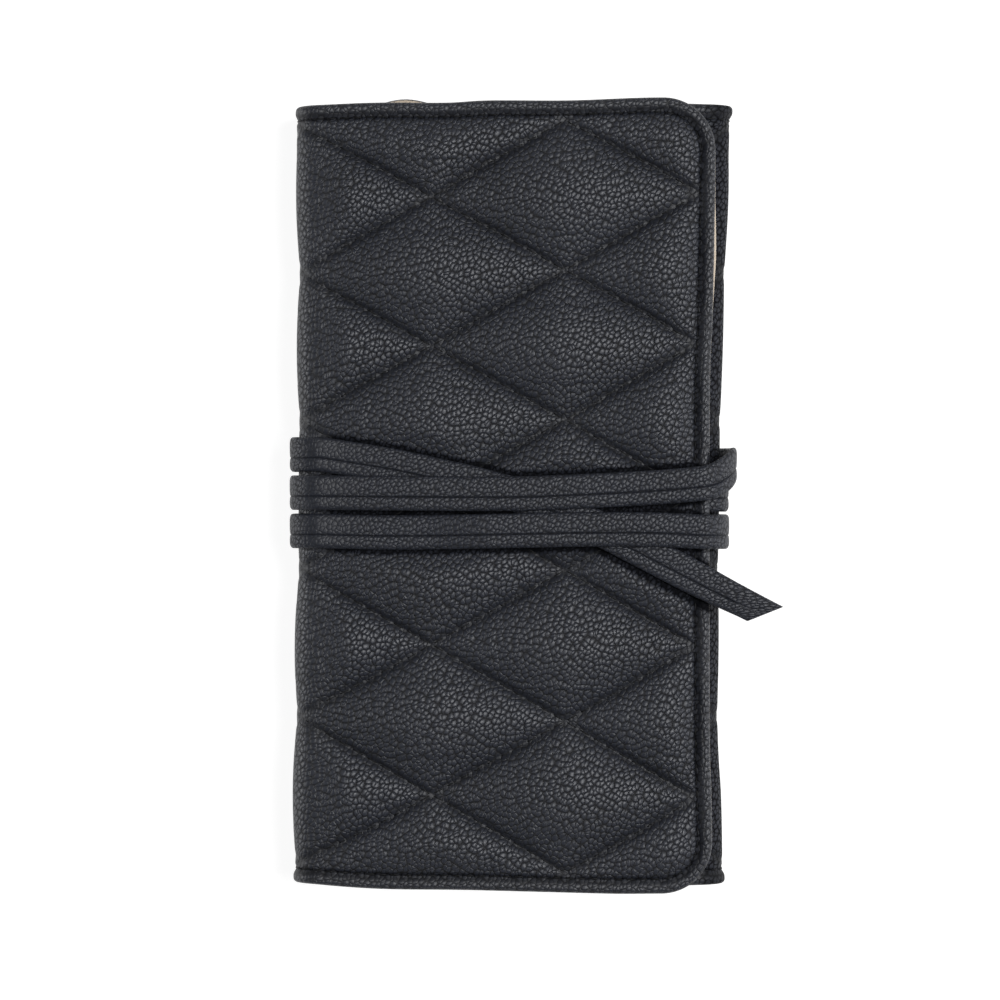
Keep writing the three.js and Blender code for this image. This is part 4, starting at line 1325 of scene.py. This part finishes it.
def leatherThread(name, sFrom, sTo, fine, runs, drawnIn, material):
    starts, ends = seamStitches()
    middle = (starts[:, 0] + ends[:, 0]) / 2
    here = (middle > sFrom) & (middle < sTo)
    holes = []
    for t in (buried, 1 - buried):
        s, v = (starts[here] + t * (ends[here] - starts[here])).T
        height, _, _ = skinTop(fine, runs, s, v)
        x, z, outX, outZ = onPath(skinPath, s)
        place = np.stack([x + outX * height, v, z + outZ * height], axis=-1)
        holes.append(asItLies(place, drawnIn))
    outs = np.stack([outX, np.zeros_like(outX), outZ], axis=-1)
    return threadPiece(name, *holes, outs, sewing["thread"], material)


# Linings, on a path inside the leather's
lining = {
    "bend": 3 * mm,
    "spare": 2 * mm,  # path before the flap's free edge
    "inset": 0.4 * mm,
    # how far it shows past the flap's free edge, in millimetres, by the place along the roll
    "showing": [
        (-108, 0.16), (30, 0.16), (50, 0.18), (57, 0.4), (64, 0.7),
        (70, 0.6), (76, 0.42), (83, 0.2), (108, 0.16),
    ],
    "showingReach": 9 * mm,
    "edge": 0.25 * mm,
    "step": 2 * mm,
    "bendSteps": 8,
    "split": 6 * mm,  # before the right fold's bend, where its lining starts
}
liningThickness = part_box("flap_lining")[1].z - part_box("flap_lining")[0].z
liningLeft = middleOf("left_fold_lining", 0)
liningRight = middleOf("right_fold_lining", 0)
flapLining, backLining, innerLining = [middleOf(f"{panel}_lining", 2) for panel in ("flap", "back", "inner")]
liningBend = lining["bend"]
liningPath, liningLength = foldPath(
    (flapEdge + lining["spare"], flapLining),
    [
        flapEdge + lining["spare"] - liningLeft - liningBend,
        flapLining - backLining - 2 * liningBend,
        liningRight - liningLeft - 2 * liningBend,
        innerLining - backLining - 2 * liningBend,
        liningRight - liningBend - (innerEdge + lining["inset"]),
    ],
    liningBend,
)
liningStops = [part["at"] for part in liningPath]
liningEnds = [(lining["spare"], 1, quilt["flapCorner"]), (liningLength, -1, quilt["innerCorner"])]
liningHalf = halfLength - lining["inset"]
liningMidLeft = (liningStops[2] + liningStops[3]) / 2
liningBackEnd = liningStops[5] - lining["split"]
liningMidRight = (liningStops[6] + liningStops[7]) / 2


def pastTheFlap(s, v):
    reach = 1 - smoothStep(s, lining["spare"], lining["spare"] + lining["showingReach"])
    return s - through(lining["showing"], v) * reach


# Cloth
cloth = {
    "edgeStops": np.array([0, 0.3, 1, 3]),  # grid lines across an edge, in edge widths
    "gap": 0.3,  # least gap between two stops, in steps
    "thinnest": 0.04,  # square of the share of the thickness that is left at an edge
    "grain": 0.6,
    "step": 2.5 * mm,
}


def sheetStops(start, end, step, edge, needed=()):
    near = cloth["edgeStops"] * edge
    return stops(np.arange(start, end, step), [*(start + near), *(end - near), *needed], cloth["gap"] * step)


# A flat cut of cloth with soft edges: its two faces over the path, swollen a little where the fill says so
def clothRise(lay, thickness, edge, side, fill):
    ends = [(place - lay["start"], inward, radius) for place, inward, radius in lay["ends"]]

    def rise(s, v):
        inside = insideEdge(s - lay["start"], v, ends, lay["length"], lay["half"])
        near = np.clip(inside / edge, 0, 1)
        half = thickness / 2 * np.sqrt(np.maximum(1 - (1 - near) ** 2, cloth["thinnest"]))
        height = side * half + fill(s, v, np.maximum(inside, 0))
        return height, np.full(np.shape(s), cloth["grain"]), np.zeros(np.shape(s))

    return rise


def clothPiece(name, lay, span, thickness, edge, drawnIn, material, step, fill=None, needed=()):
    fill = fill or (lambda s, v, inside: 0 * s)
    sList = sheetStops(*span, step, edge, needed)
    vList = sheetStops(-lay["half"], lay["half"], step, edge)
    upper, lower = [(sList, vList, clothRise(lay, thickness, edge, side, fill)) for side in (1, -1)]
    return panelPiece(name, lay, upper, lower, drawnIn, material)


def liningPiece(name, sFrom, sTo, drawnIn, material):
    lay = {
        "path": liningPath,
        "ends": liningEnds,
        "half": liningHalf,
        "start": lining["spare"],
        "length": liningLength - lining["spare"],
        "proud": pastTheFlap,
    }
    bends = [np.linspace(a, b, lining["bendSteps"]) for a, b in zip(liningStops[1::2], liningStops[2::2])]
    needed = [s for bend in bends for s in bend if sFrom < s < sTo]
    return clothPiece(
        name,
        lay,
        (sFrom, sTo),
        liningThickness,
        lining["edge"],
        drawnIn,
        material,
        lining["step"],
        needed=needed,
    )


# Flat pieces of cloth inside, each where its CAD node is: X from its right edge, Y from its middle
pocket = {
    "corner": 3 * mm,
    "edge": 0.35 * mm,
    "seam": 2.2 * mm,  # edge to stitches
    "stitch": 2.8 * mm,
    "thread": 0.2 * mm,
    "slack": 0.3 * mm,
    "zipSlack": 0.12 * mm,
    "slackReach": 14 * mm,
    "slackMean": 0.5,
    # shares of the slack in two slow waves, and how far each goes for a radian, along s and along v
    "slackWaves": [(0.3, 11 * mm, 23 * mm), (0.2, -31 * mm, 9 * mm)],
    "mouthCorner": 0.8 * mm,
    "lap": 1.2 * mm,  # of the binding over the pocket's mouth
    "wrap": 0.2 * mm,  # what the binding adds to the cloth's thickness
    "bindingSeam": 2 * mm,  # the binding's ends to its stitches
    "padCorner": 4 * mm,
}


def nodeLay(node, corner):
    low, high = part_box(node)
    length = high.x - low.x
    start = np.array([high.x, (low.z + high.z) / 2])
    return {
        "path": [{"at": 0.0, "origin": start, "angle": math.pi, "radius": 0.0}],
        "ends": [(0.0, 1, corner), (length, -1, corner)],
        "half": (high.y - low.y) / 2,
        "middle": (high.y + low.y) / 2,
        "start": 0.0,
        "length": length,
    }, high.z - low.z


# Slack cloth waves gently between its seams.
def slackFill(depth, side):
    def fill(s, v, inside):
        free = smoothStep(inside, 0, pocket["slackReach"])
        wavy = sum(share * np.sin(s / a + v / b) for share, a, b in pocket["slackWaves"])
        return side * depth * free * (pocket["slackMean"] + wavy)

    return fill


def laidCloth(name, lay, thickness, drawnIn, material, fill=None):
    span = (0.0, lay["length"])
    return clothPiece(name, lay, span, thickness, pocket["edge"], drawnIn, material, cloth["step"], fill)


def flatCloth(name, node, drawnIn, material, corner, fill=None):
    lay, thickness = nodeLay(node, corner)
    return laidCloth(name, lay, thickness, drawnIn, material, fill), (lay["length"], 2 * lay["half"])


# The binding laps over the pocket's mouth.
def bindingPiece(name, node, material):
    lay, thickness = nodeLay(node, pocket["mouthCorner"])
    lay["half"] += pocket["lap"] / 2
    lay["middle"] -= pocket["lap"] / 2
    return laidCloth(name, lay, thickness + pocket["wrap"], False, material)


# Stitches along lines given as places in X and Y, on a face at the height z that looks up or down
def seamPiece(name, lines, z, up, drawnIn, material):
    starts = []
    ends = []
    for line in lines:
        walked = spaced(line, pocket["stitch"])
        starts.append(walked[:-1] + buried * np.diff(walked, axis=0))
        ends.append(walked[1:] - buried * np.diff(walked, axis=0))
    places = []
    for holes in (np.concatenate(starts), np.concatenate(ends)):
        place = np.concatenate([holes, np.full((len(holes), 1), z)], axis=1)
        places.append(asItLies(place, drawnIn))
    outs = np.tile([0.0, 0.0, up], (len(places[0]), 1))
    return threadPiece(name, *places, outs, pocket["thread"], material)


def nodeSeam(node, sides):
    low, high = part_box(node)
    inset = pocket["seam"]
    left, right = low.x + inset, high.x - inset
    bottom, top = low.y + inset, high.y - inset
    lines = {
        "left": [(left, bottom), (left, top)],
        "right": [(right, bottom), (right, top)],
        "bottom": [(left, bottom), (right, bottom)],
        "top": [(left, top), (right, top)],
    }
    return [lines[side] for side in sides]


# Ring rolls: stuffed suede tubes, closed and gathered at their ends
ringRoll = {
    "sides": 28,
    "ring": 1.5 * mm,
    "endRound": 2.4 * mm,
    "endSteps": 7,
    "seamDepth": 0.25 * mm,
    "seamWidth": 0.16,  # in radians
    "swell": 0.12 * mm,
    "gathers": 7,
    "gatherReach": 3 * mm,
    "wobble": 7 * mm,
    "fill": 0.9,
}


def ringRollPiece(name, node, material):
    low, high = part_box(node)
    radius = (high.x - low.x) / 2
    half = (high.y - low.y) / 2
    endRound = ringRoll["endRound"]
    turn = np.linspace(0, math.pi / 2, ringRoll["endSteps"])
    cap = half - endRound + endRound * np.sin(turn)
    capRadius = radius - endRound + endRound * np.cos(turn)
    even = np.arange(-half + endRound, half - endRound, ringRoll["ring"])
    along = np.concatenate([-cap[::-1], even[1:], cap])
    size = np.concatenate([capRadius[::-1], np.full(len(even) - 1, radius), capRadius])
    angle = np.arange(ringRoll["sides"]) * 2 * math.pi / ringRoll["sides"]
    atEnds = np.exp(-(half - np.abs(along)) / ringRoll["gatherReach"])
    gathers = atEnds[:, None] * np.cos(ringRoll["gathers"] * angle)[None, :]
    wobble = np.sin(along / ringRoll["wobble"])[:, None] * np.cos(2 * angle + 1)[None, :]
    sewn = bell(angle - math.pi / 2, ringRoll["seamWidth"])[None, :]
    reach = size[:, None] - ringRoll["swell"] * (1 + gathers + wobble) - ringRoll["seamDepth"] * sewn
    x = middleOf(node, 0) + reach * np.cos(angle)
    z = middleOf(node, 2) + reach * np.sin(angle)
    y = np.broadcast_to(along[:, None], x.shape)
    rings = asItLies(np.stack([x, y, z], axis=-1), True)
    flat = np.stack([y, np.broadcast_to(radius * angle, y.shape)], axis=-1).reshape(-1, 2)
    return addPiece(name, rings.reshape(-1, 3), sweep(rings), flat, None, None, material, sharp=80)


# Zip: two woven tapes, each with a nylon coil sewn to it, metal end stops, a slider and its pull
zipCoil = {
    "wire": 0.3 * mm,  # radius of the filament
    "pitch": 1.3 * mm,
    "steps": 8,
    "sides": 5,
    "mesh": 0.25 * mm,  # how far a coil's heads reach over the zip's line
    "tapeCorner": 0.3 * mm,
}
zipLine = (middleOf("zip_coil_left", 0) + middleOf("zip_coil_right", 0)) / 2


def coilPiece(name, node, material):
    low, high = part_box(node)
    side = 1 if middleOf(node, 0) > zipLine else -1
    outer = max(abs(low.x - zipLine), abs(high.x - zipLine))
    wire = zipCoil["wire"]
    halfWide = (outer + zipCoil["mesh"]) / 2 - wire
    halfHigh = (high.z - low.z) / 2 - wire
    offset = 0.5 if side > 0 else 0.0
    turns = int((high.y - low.y - 2 * wire) / zipCoil["pitch"] - offset)
    t = np.arange(0, turns * zipCoil["steps"] + 1) / zipCoil["steps"]
    angle = 2 * math.pi * t
    x = zipLine + side * ((outer - zipCoil["mesh"]) / 2 + halfWide * np.cos(angle))
    z = middleOf(node, 2) + halfHigh * np.sin(angle)
    y = low.y + wire + zipCoil["pitch"] * (t + offset)
    points = np.stack([x, y, z], axis=1)
    along = unit(np.gradient(points, axis=0))
    across = unit(np.cross(along, [0.0, 1.0, 0.0]))
    out = np.cross(across, along)
    turn = (np.arange(zipCoil["sides"]) * 2 * math.pi / zipCoil["sides"])[None, :, None]
    rings = points[:, None] + wire * (np.cos(turn) * across[:, None] + np.sin(turn) * out[:, None])
    return addPiece(name, rings.reshape(-1, 3), sweep(rings), material=material, sharp=80)


def addBlock(low, high):
    bpy.ops.object.select_all(action="DESELECT")
    middle = [(a + b) / 2 for a, b in zip(low, high)]
    bpy.ops.mesh.primitive_cube_add(size=1, location=middle)
    block = bpy.context.object
    block.scale = [b - a for a, b in zip(low, high)]
    bpy.ops.object.transform_apply(location=True, rotation=True, scale=True)
    return block


def applied(block, modifier):
    bpy.context.view_layer.objects.active = block
    bpy.ops.object.modifier_apply(modifier=modifier.name)
    return block


def rounded(block, width, segments=3):
    bevel = block.modifiers.new("rounded", "BEVEL")
    bevel.width = width
    bevel.segments = segments
    return applied(block, bevel)


# Edit mode on the active block, with only the chosen faces or edges selected
def editChosen(kind, parts, chosen):
    bpy.ops.object.mode_set(mode="EDIT")
    bpy.ops.mesh.select_mode(type=kind)
    bpy.ops.mesh.select_all(action="DESELECT")
    bpy.ops.object.mode_set(mode="OBJECT")
    for part in parts:
        part.select = chosen(part)
    bpy.ops.object.mode_set(mode="EDIT")


metalSharp = math.radians(35)  # from this angle on, an edge of a metal piece looks sharp


def joined(name, blocks, material):
    bpy.ops.object.select_all(action="DESELECT")
    for block in blocks:
        block.select_set(True)
    bpy.context.view_layer.objects.active = blocks[0]
    if len(blocks) > 1:
        bpy.ops.object.join()
    bpy.ops.object.shade_smooth_by_angle(angle=metalSharp)
    piece = bpy.context.object
    piece.name = name
    piece.data.name = name
    piece.data.materials.clear()
    piece.data.materials.append(material)
    return piece


zipStop = {
    "border": 0.45 * mm,
    "dent": 0.16 * mm,
    "bevel": 0.2 * mm,
    "facing": 0.9,  # only the face whose normal points up this much has the dent
}


# A stop is a strip of metal bent round the two tapes and pressed flat, with a dent where it was pressed.
def stopPiece(name, node, material):
    block = addBlock(*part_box(node))
    editChosen("FACE", block.data.polygons, lambda face: face.normal.z > zipStop["facing"])
    bpy.ops.mesh.inset(thickness=zipStop["border"], depth=0)
    bpy.ops.transform.translate(value=(0, 0, -zipStop["dent"]))
    bpy.ops.object.mode_set(mode="OBJECT")
    return joined(name, [rounded(block, zipStop["bevel"])], material)


zipSlider = {
    "plate": 0.9 * mm,
    "cover": 1.2 * mm,  # coils to the top of the upper plate
    "cuts": 4,
    "nose": 4.5 * mm,
    "noseWidth": 0.62,  # share of the width at the nose
    "bevel": 0.28 * mm,
    "flange": 1.1 * mm,
    "flangeWidth": 0.8 * mm,
    "flangeEnds": (0.3 * mm, 4.2 * mm),  # from the slider's two ends
    "flangeDrop": 0.2 * mm,
    "flangeBevel": 0.22 * mm,
    "postHalf": 0.3 * mm,
    "postEnds": (3.6 * mm, 1.1 * mm),  # from the nose
    "bail": 1.0 * mm,
    "bailWire": 0.42 * mm,
    "bailStretch": 1.05,
    "bailSteps": (40, 12),  # round the arch and round its wire
}


# A plate drawn in to a nose at the end that the pull points away from
def sliderPlate(low, high):
    block = addBlock(low, high)
    bpy.ops.object.mode_set(mode="EDIT")
    bpy.ops.mesh.subdivide(number_cuts=zipSlider["cuts"])
    bpy.ops.object.mode_set(mode="OBJECT")
    for vertex in block.data.vertices:
        back = smoothStep(vertex.co.y, high[1] - zipSlider["nose"], high[1])
        vertex.co.x = zipLine + (vertex.co.x - zipLine) * (1 - (1 - zipSlider["noseWidth"]) * back)
    return rounded(block, zipSlider["bevel"])


# The arch that the pull hangs on
def sliderBail(top, peak):
    bpy.ops.object.select_all(action="DESELECT")
    pivotY = pivots["zip_pull_swing"][1]
    radius = zipSlider["bail"]
    around, aboutWire = zipSlider["bailSteps"]
    bpy.ops.mesh.primitive_torus_add(
        major_segments=around,
        minor_segments=aboutWire,
        major_radius=radius,
        minor_radius=zipSlider["bailWire"],
        location=(zipLine, pivotY, top),
        rotation=(0, math.pi / 2, 0),
    )
    bail = bpy.context.object
    bpy.ops.object.transform_apply(location=True, rotation=True, scale=True)
    taller = (peak - top - zipSlider["bailWire"]) / radius - 1
    for vertex in bail.data.vertices:
        up = vertex.co.z - top
        grow = radius / max(math.hypot(vertex.co.y - pivotY, up), 1e-6)
        vertex.co.y += (vertex.co.y - pivotY) * grow * zipSlider["bailStretch"]
        vertex.co.z += up * grow * taller
    return bail


def sliderPiece(name, node, material):
    low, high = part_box(node)
    plate = zipSlider["plate"]
    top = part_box("zip_coil_left")[1].z + zipSlider["cover"]
    blocks = [sliderPlate((low.x, low.y, z), (high.x, high.y, z + plate)) for z in (low.z, top - plate)]
    # flanges that hold the coils in, on the upper plate's edges
    startGap, endGap = zipSlider["flangeEnds"]
    for side in (-1, 1):
        edge = zipLine + side * (high.x - low.x) / 2
        inner = edge - side * zipSlider["flangeWidth"]
        flange = addBlock(
            (min(edge, inner), low.y + startGap, top - plate - zipSlider["flange"]),
            (max(edge, inner), high.y - endGap, top - zipSlider["flangeDrop"]),
        )
        blocks.append(rounded(flange, zipSlider["flangeBevel"]))
    postStart, postEnd = zipSlider["postEnds"]
    blocks.append(
        addBlock(
            (zipLine - zipSlider["postHalf"], high.y - postStart, low.z),
            (zipLine + zipSlider["postHalf"], high.y - postEnd, top),
        )
    )
    blocks.append(sliderBail(top, high.z))
    return joined(name, blocks, material)


zipPull = {
    "corner": 1.5 * mm,
    "cornerSteps": 8,
    "upright": 0.1 * mm,  # an edge that rises more is one of the four at the corners
    "arm": 0.95 * mm,
    "eye": 3.4 * mm,
    "eyeCorner": 0.5 * mm,
    "eyeSteps": 4,
    "hole": 0.8 * mm,
    "holeAt": 2.1 * mm,
    "holeSides": 24,
    "bevel": 0.18 * mm,
    "bevelSteps": 2,
    "bevelFrom": math.radians(50),
    # cutters: how far the eye's stands out of the plate, and how tall the hole's is
    "over": 1 * mm,
    "drill": 4 * mm,
}


# The pull: a stamped plate with an eye round the bail and a small hole near its tip.
def pullPiece(name, node, material):
    low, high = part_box(node)
    block = addBlock(low, high)
    corners = block.data.vertices

    def upright(edge):
        a, b = (corners[k].co for k in edge.vertices)
        return abs(a.z - b.z) > zipPull["upright"]

    editChosen("EDGE", block.data.edges, upright)
    bpy.ops.mesh.bevel(offset=zipPull["corner"], segments=zipPull["cornerSteps"])
    bpy.ops.object.mode_set(mode="OBJECT")
    arm = zipPull["arm"]
    eye = addBlock(
        (low.x + arm, high.y - arm - zipPull["eye"], low.z - zipPull["over"]),
        (high.x - arm, high.y - arm, high.z + zipPull["over"]),
    )
    rounded(eye, zipPull["eyeCorner"], zipPull["eyeSteps"])
    bpy.ops.object.select_all(action="DESELECT")
    bpy.ops.mesh.primitive_cylinder_add(
        vertices=zipPull["holeSides"],
        radius=zipPull["hole"],
        depth=zipPull["drill"],
        location=(middleOf(node, 0), low.y + zipPull["holeAt"], middleOf(node, 2)),
    )
    hole = bpy.context.object
    bpy.ops.object.transform_apply(location=True, rotation=True, scale=True)
    for cutter in (eye, hole):
        cut = block.modifiers.new("cut", "BOOLEAN")
        cut.operation = "DIFFERENCE"
        cut.object = cutter
        applied(block, cut)
        bpy.data.objects.remove(cutter)
    softened = block.modifiers.new("softened", "BEVEL")
    softened.width = zipPull["bevel"]
    softened.segments = zipPull["bevelSteps"]
    softened.limit_method = "ANGLE"
    softened.angle_limit = zipPull["bevelFrom"]
    return joined(name, [applied(block, softened)], material)


# What a piece rides on, and the CAD nodes that it stands for
def dress(piece, body, slotName, *nodes):
    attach(piece, body)
    if nodes:
        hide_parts(*nodes)


addCamera()
addFloor()
addLamps()
addWorld()
leather = pebbledLeather("pebbledLeather", leatherLook)
strapLeather = pebbledLeather("strapLeather", strapLook)
thread = threadMaterial("blackPolyesterThread", "#0f1013", "#070809")
creamThread = threadMaterial("creamPolyesterThread", "#e2d6bf", "#b7a88c")
suede = microsuede("creamMicrosuede", "#dfd0be", "#cbbba6")
pocketSuede = microsuede("sandMicrosuede", "#d8c6ad", "#c3b096")
tape = wovenTape("wovenZipTape")
nylon = nylonCoil("nylonMonofilament")
gold = platedGold("goldPlatedZinc")
print("stage and materials made")

runs = strapRuns()
strapPath, strapAlong, strapAcross, strapOut = strapFrames(runs)
tieStrap = strapPiece(strapPath, strapAlong, strapAcross, strapOut, strapLeather)
strapThread = strapThreadPiece(strapPath, strapAcross, strapOut, thread)
dress(tieStrap, "flap", "leather", "tie_strap")
dress(strapThread, "flap", "leather")
for piece in (tieStrap, strapThread):
    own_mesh(piece)
print("tie strap made")

# Each panel's leather and lining: where they start and end on their strips, and the two bodies on
# either side of their bend
panels = [
    {
        "name": "flap",
        "bodies": ("left_spine", "flap"),
        "drawnIn": False,
        "leather": (0.0, midLeft),
        "leatherNodes": ["flap_cover", "flap_foam"],
        "lining": (lining["spare"], liningMidLeft),
        "liningNodes": ["flap_lining"],
    },
    {
        "name": "back",
        "bodies": ("back", "left_spine"),
        "drawnIn": True,
        "leather": (midLeft, backEnd),
        "leatherNodes": ["back_cover", "back_foam", "left_fold_cover"],
        "lining": (liningMidLeft, liningBackEnd),
        "liningNodes": ["back_lining", "left_fold_lining"],
    },
    {
        "name": "rightFold",
        "bodies": ("back", "right_spine"),
        "drawnIn": True,
        "leather": (backEnd, midRight),
        "leatherNodes": ["right_fold_cover"],
        "lining": (liningBackEnd, liningMidRight),
        "liningNodes": ["right_fold_lining"],
    },
    {
        "name": "inner",
        "bodies": ("right_spine", "inner_panel"),
        "drawnIn": True,
        "leather": (midRight, skinLength),
        "leatherNodes": ["inner_cover", "inner_foam"],
        "lining": (liningMidRight, liningLength),
        "liningNodes": ["inner_lining"],
    },
]


# Where each bend starts and ends, by the two bodies that it joins
def bendEnds(left, right, back, flap, inner, radius):
    return {
        ("left_spine", "flap"): ((left, 0, flap - radius), (left + radius, 0, flap)),
        ("back", "left_spine"): ((left + radius, 0, back), (left, 0, back + radius)),
        ("back", "right_spine"): ((right - radius, 0, back), (right, 0, back + radius)),
        ("right_spine", "inner_panel"): ((right, 0, inner - radius), (right - radius, 0, inner)),
    }


fine = finerLattice(puffedQuilt())
leatherBends = bendEnds(leftFold, rightFold, backLevel, flapLevel, innerLevel, bendRadius)
for panel in panels:
    name = panel["name"]
    start, end = leatherBends[panel["bodies"]]
    skin = leatherPiece(f"{name}Leather", *panel["leather"], fine, runs, panel["drawnIn"], leather)
    stitches = leatherThread(f"{name}Thread", *panel["leather"], fine, runs, panel["drawnIn"], thread)
    for piece in (skin, stitches):
        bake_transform(piece)
    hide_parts(*panel["leatherNodes"])
    print(skin.name, "made,", len(skin.data.polygons), "faces")

liningBends = bendEnds(liningLeft, liningRight, backLining, flapLining, innerLining, liningBend)
for panel in panels:
    name = panel["name"]
    start, end = liningBends[panel["bodies"]]
    sFrom, sTo = panel["lining"]
    piece = liningPiece(f"{name}Lining", sFrom, sTo, panel["drawnIn"], suede)
    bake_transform(piece)
    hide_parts(*panel["liningNodes"])
print("linings made")

# Slip pocket on the flap, its mouth bound in leather
slipFill = slackFill(pocket["slack"], -1)
slipCorner = pocket["mouthCorner"]
slipPocket, slipFlat = flatCloth("slipPocket", "slip_pocket", False, pocketSuede, slipCorner, slipFill)
slipLines = nodeSeam("slip_pocket", ("left", "right", "bottom"))
slipSeam = seamPiece("slipPocketThread", slipLines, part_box("slip_pocket")[0].z, -1, False, creamThread)
binding = bindingPiece("slipPocketBinding", "slip_pocket_binding", leather)
bindLow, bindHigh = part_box("slip_pocket_binding")
bindMiddle = middleOf("slip_pocket_binding", 1)
bindEnds = (bindLow.x + pocket["bindingSeam"], bindHigh.x - pocket["bindingSeam"])
bindLine = [(x, bindMiddle) for x in bindEnds]
bindLevel = bindLow.z - pocket["wrap"] / 2
bindingSeam = seamPiece("bindingThread", [bindLine], bindLevel, -1, False, thread)
dress(slipPocket, "flap", "pocket_cloth", "slip_pocket")
dress(slipSeam, "flap", "pocket_cloth")
dress(binding, "flap", "leather", "slip_pocket_binding")
dress(bindingSeam, "flap", "leather")

# Zip pocket on the back, a strip and a panel of cloth with the zip between them
for part, side, fill in (("strip", "left", None), ("panel", "right", slackFill(pocket["zipSlack"], 1))):
    title = f"zipPocket{part.capitalize()}"
    node = f"zip_pocket_{part}"
    place = side.capitalize()
    piece, flat = flatCloth(title, node, True, pocketSuede, pocket["corner"], fill)
    lines = nodeSeam(node, (side, "bottom", "top"))
    stitches = seamPiece(f"{title}Thread", lines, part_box(node)[1].z, 1, True, creamThread)
    woven, _ = flatCloth(f"zipTape{place}", f"zip_tape_{side}", True, tape, zipCoil["tapeCorner"])
    coil = coilPiece(f"zipCoil{place}", f"zip_coil_{side}", nylon)
    dress(piece, "back", "pocket_cloth", node)
    dress(stitches, "back", "pocket_cloth")
    dress(woven, "back", "zip_cloth", f"zip_tape_{side}")
    dress(coil, "back", "zip_nylon", f"zip_coil_{side}")
for end in ("top", "bottom"):
    piece = stopPiece(f"zipStop{end.capitalize()}", f"zip_stop_{end}", gold)
    dress(piece, "back", "zip_metal", f"zip_stop_{end}")
dress(sliderPiece("zipSlider", "zip_slider", gold), "zip_slider", "zip_metal", "zip_slider")
dress(pullPiece("zipPull", "zip_pull", gold), "zip_pull", "zip_metal", "zip_pull")
print("pockets and zip made")

# Ring pad on the inner panel, with its stuffed rolls
ringPad, padFlat = flatCloth("ringPad", "ring_pad", True, suede, pocket["padCorner"])
padLines = nodeSeam("ring_pad", ("left", "right", "bottom", "top"))
padSeam = seamPiece("ringPadThread", padLines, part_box("ring_pad")[0].z, -1, True, creamThread)
dress(ringPad, "inner_panel", "ring_cloth", "ring_pad")
dress(padSeam, "inner_panel", "ring_cloth")
for k in range(1, 5):
    roll = ringRollPiece(f"ringRoll{k}", f"ring_roll_{k}", suede)
    dress(roll, "inner_panel", "ring_cloth", f"ring_roll_{k}")
print("ring pad made")
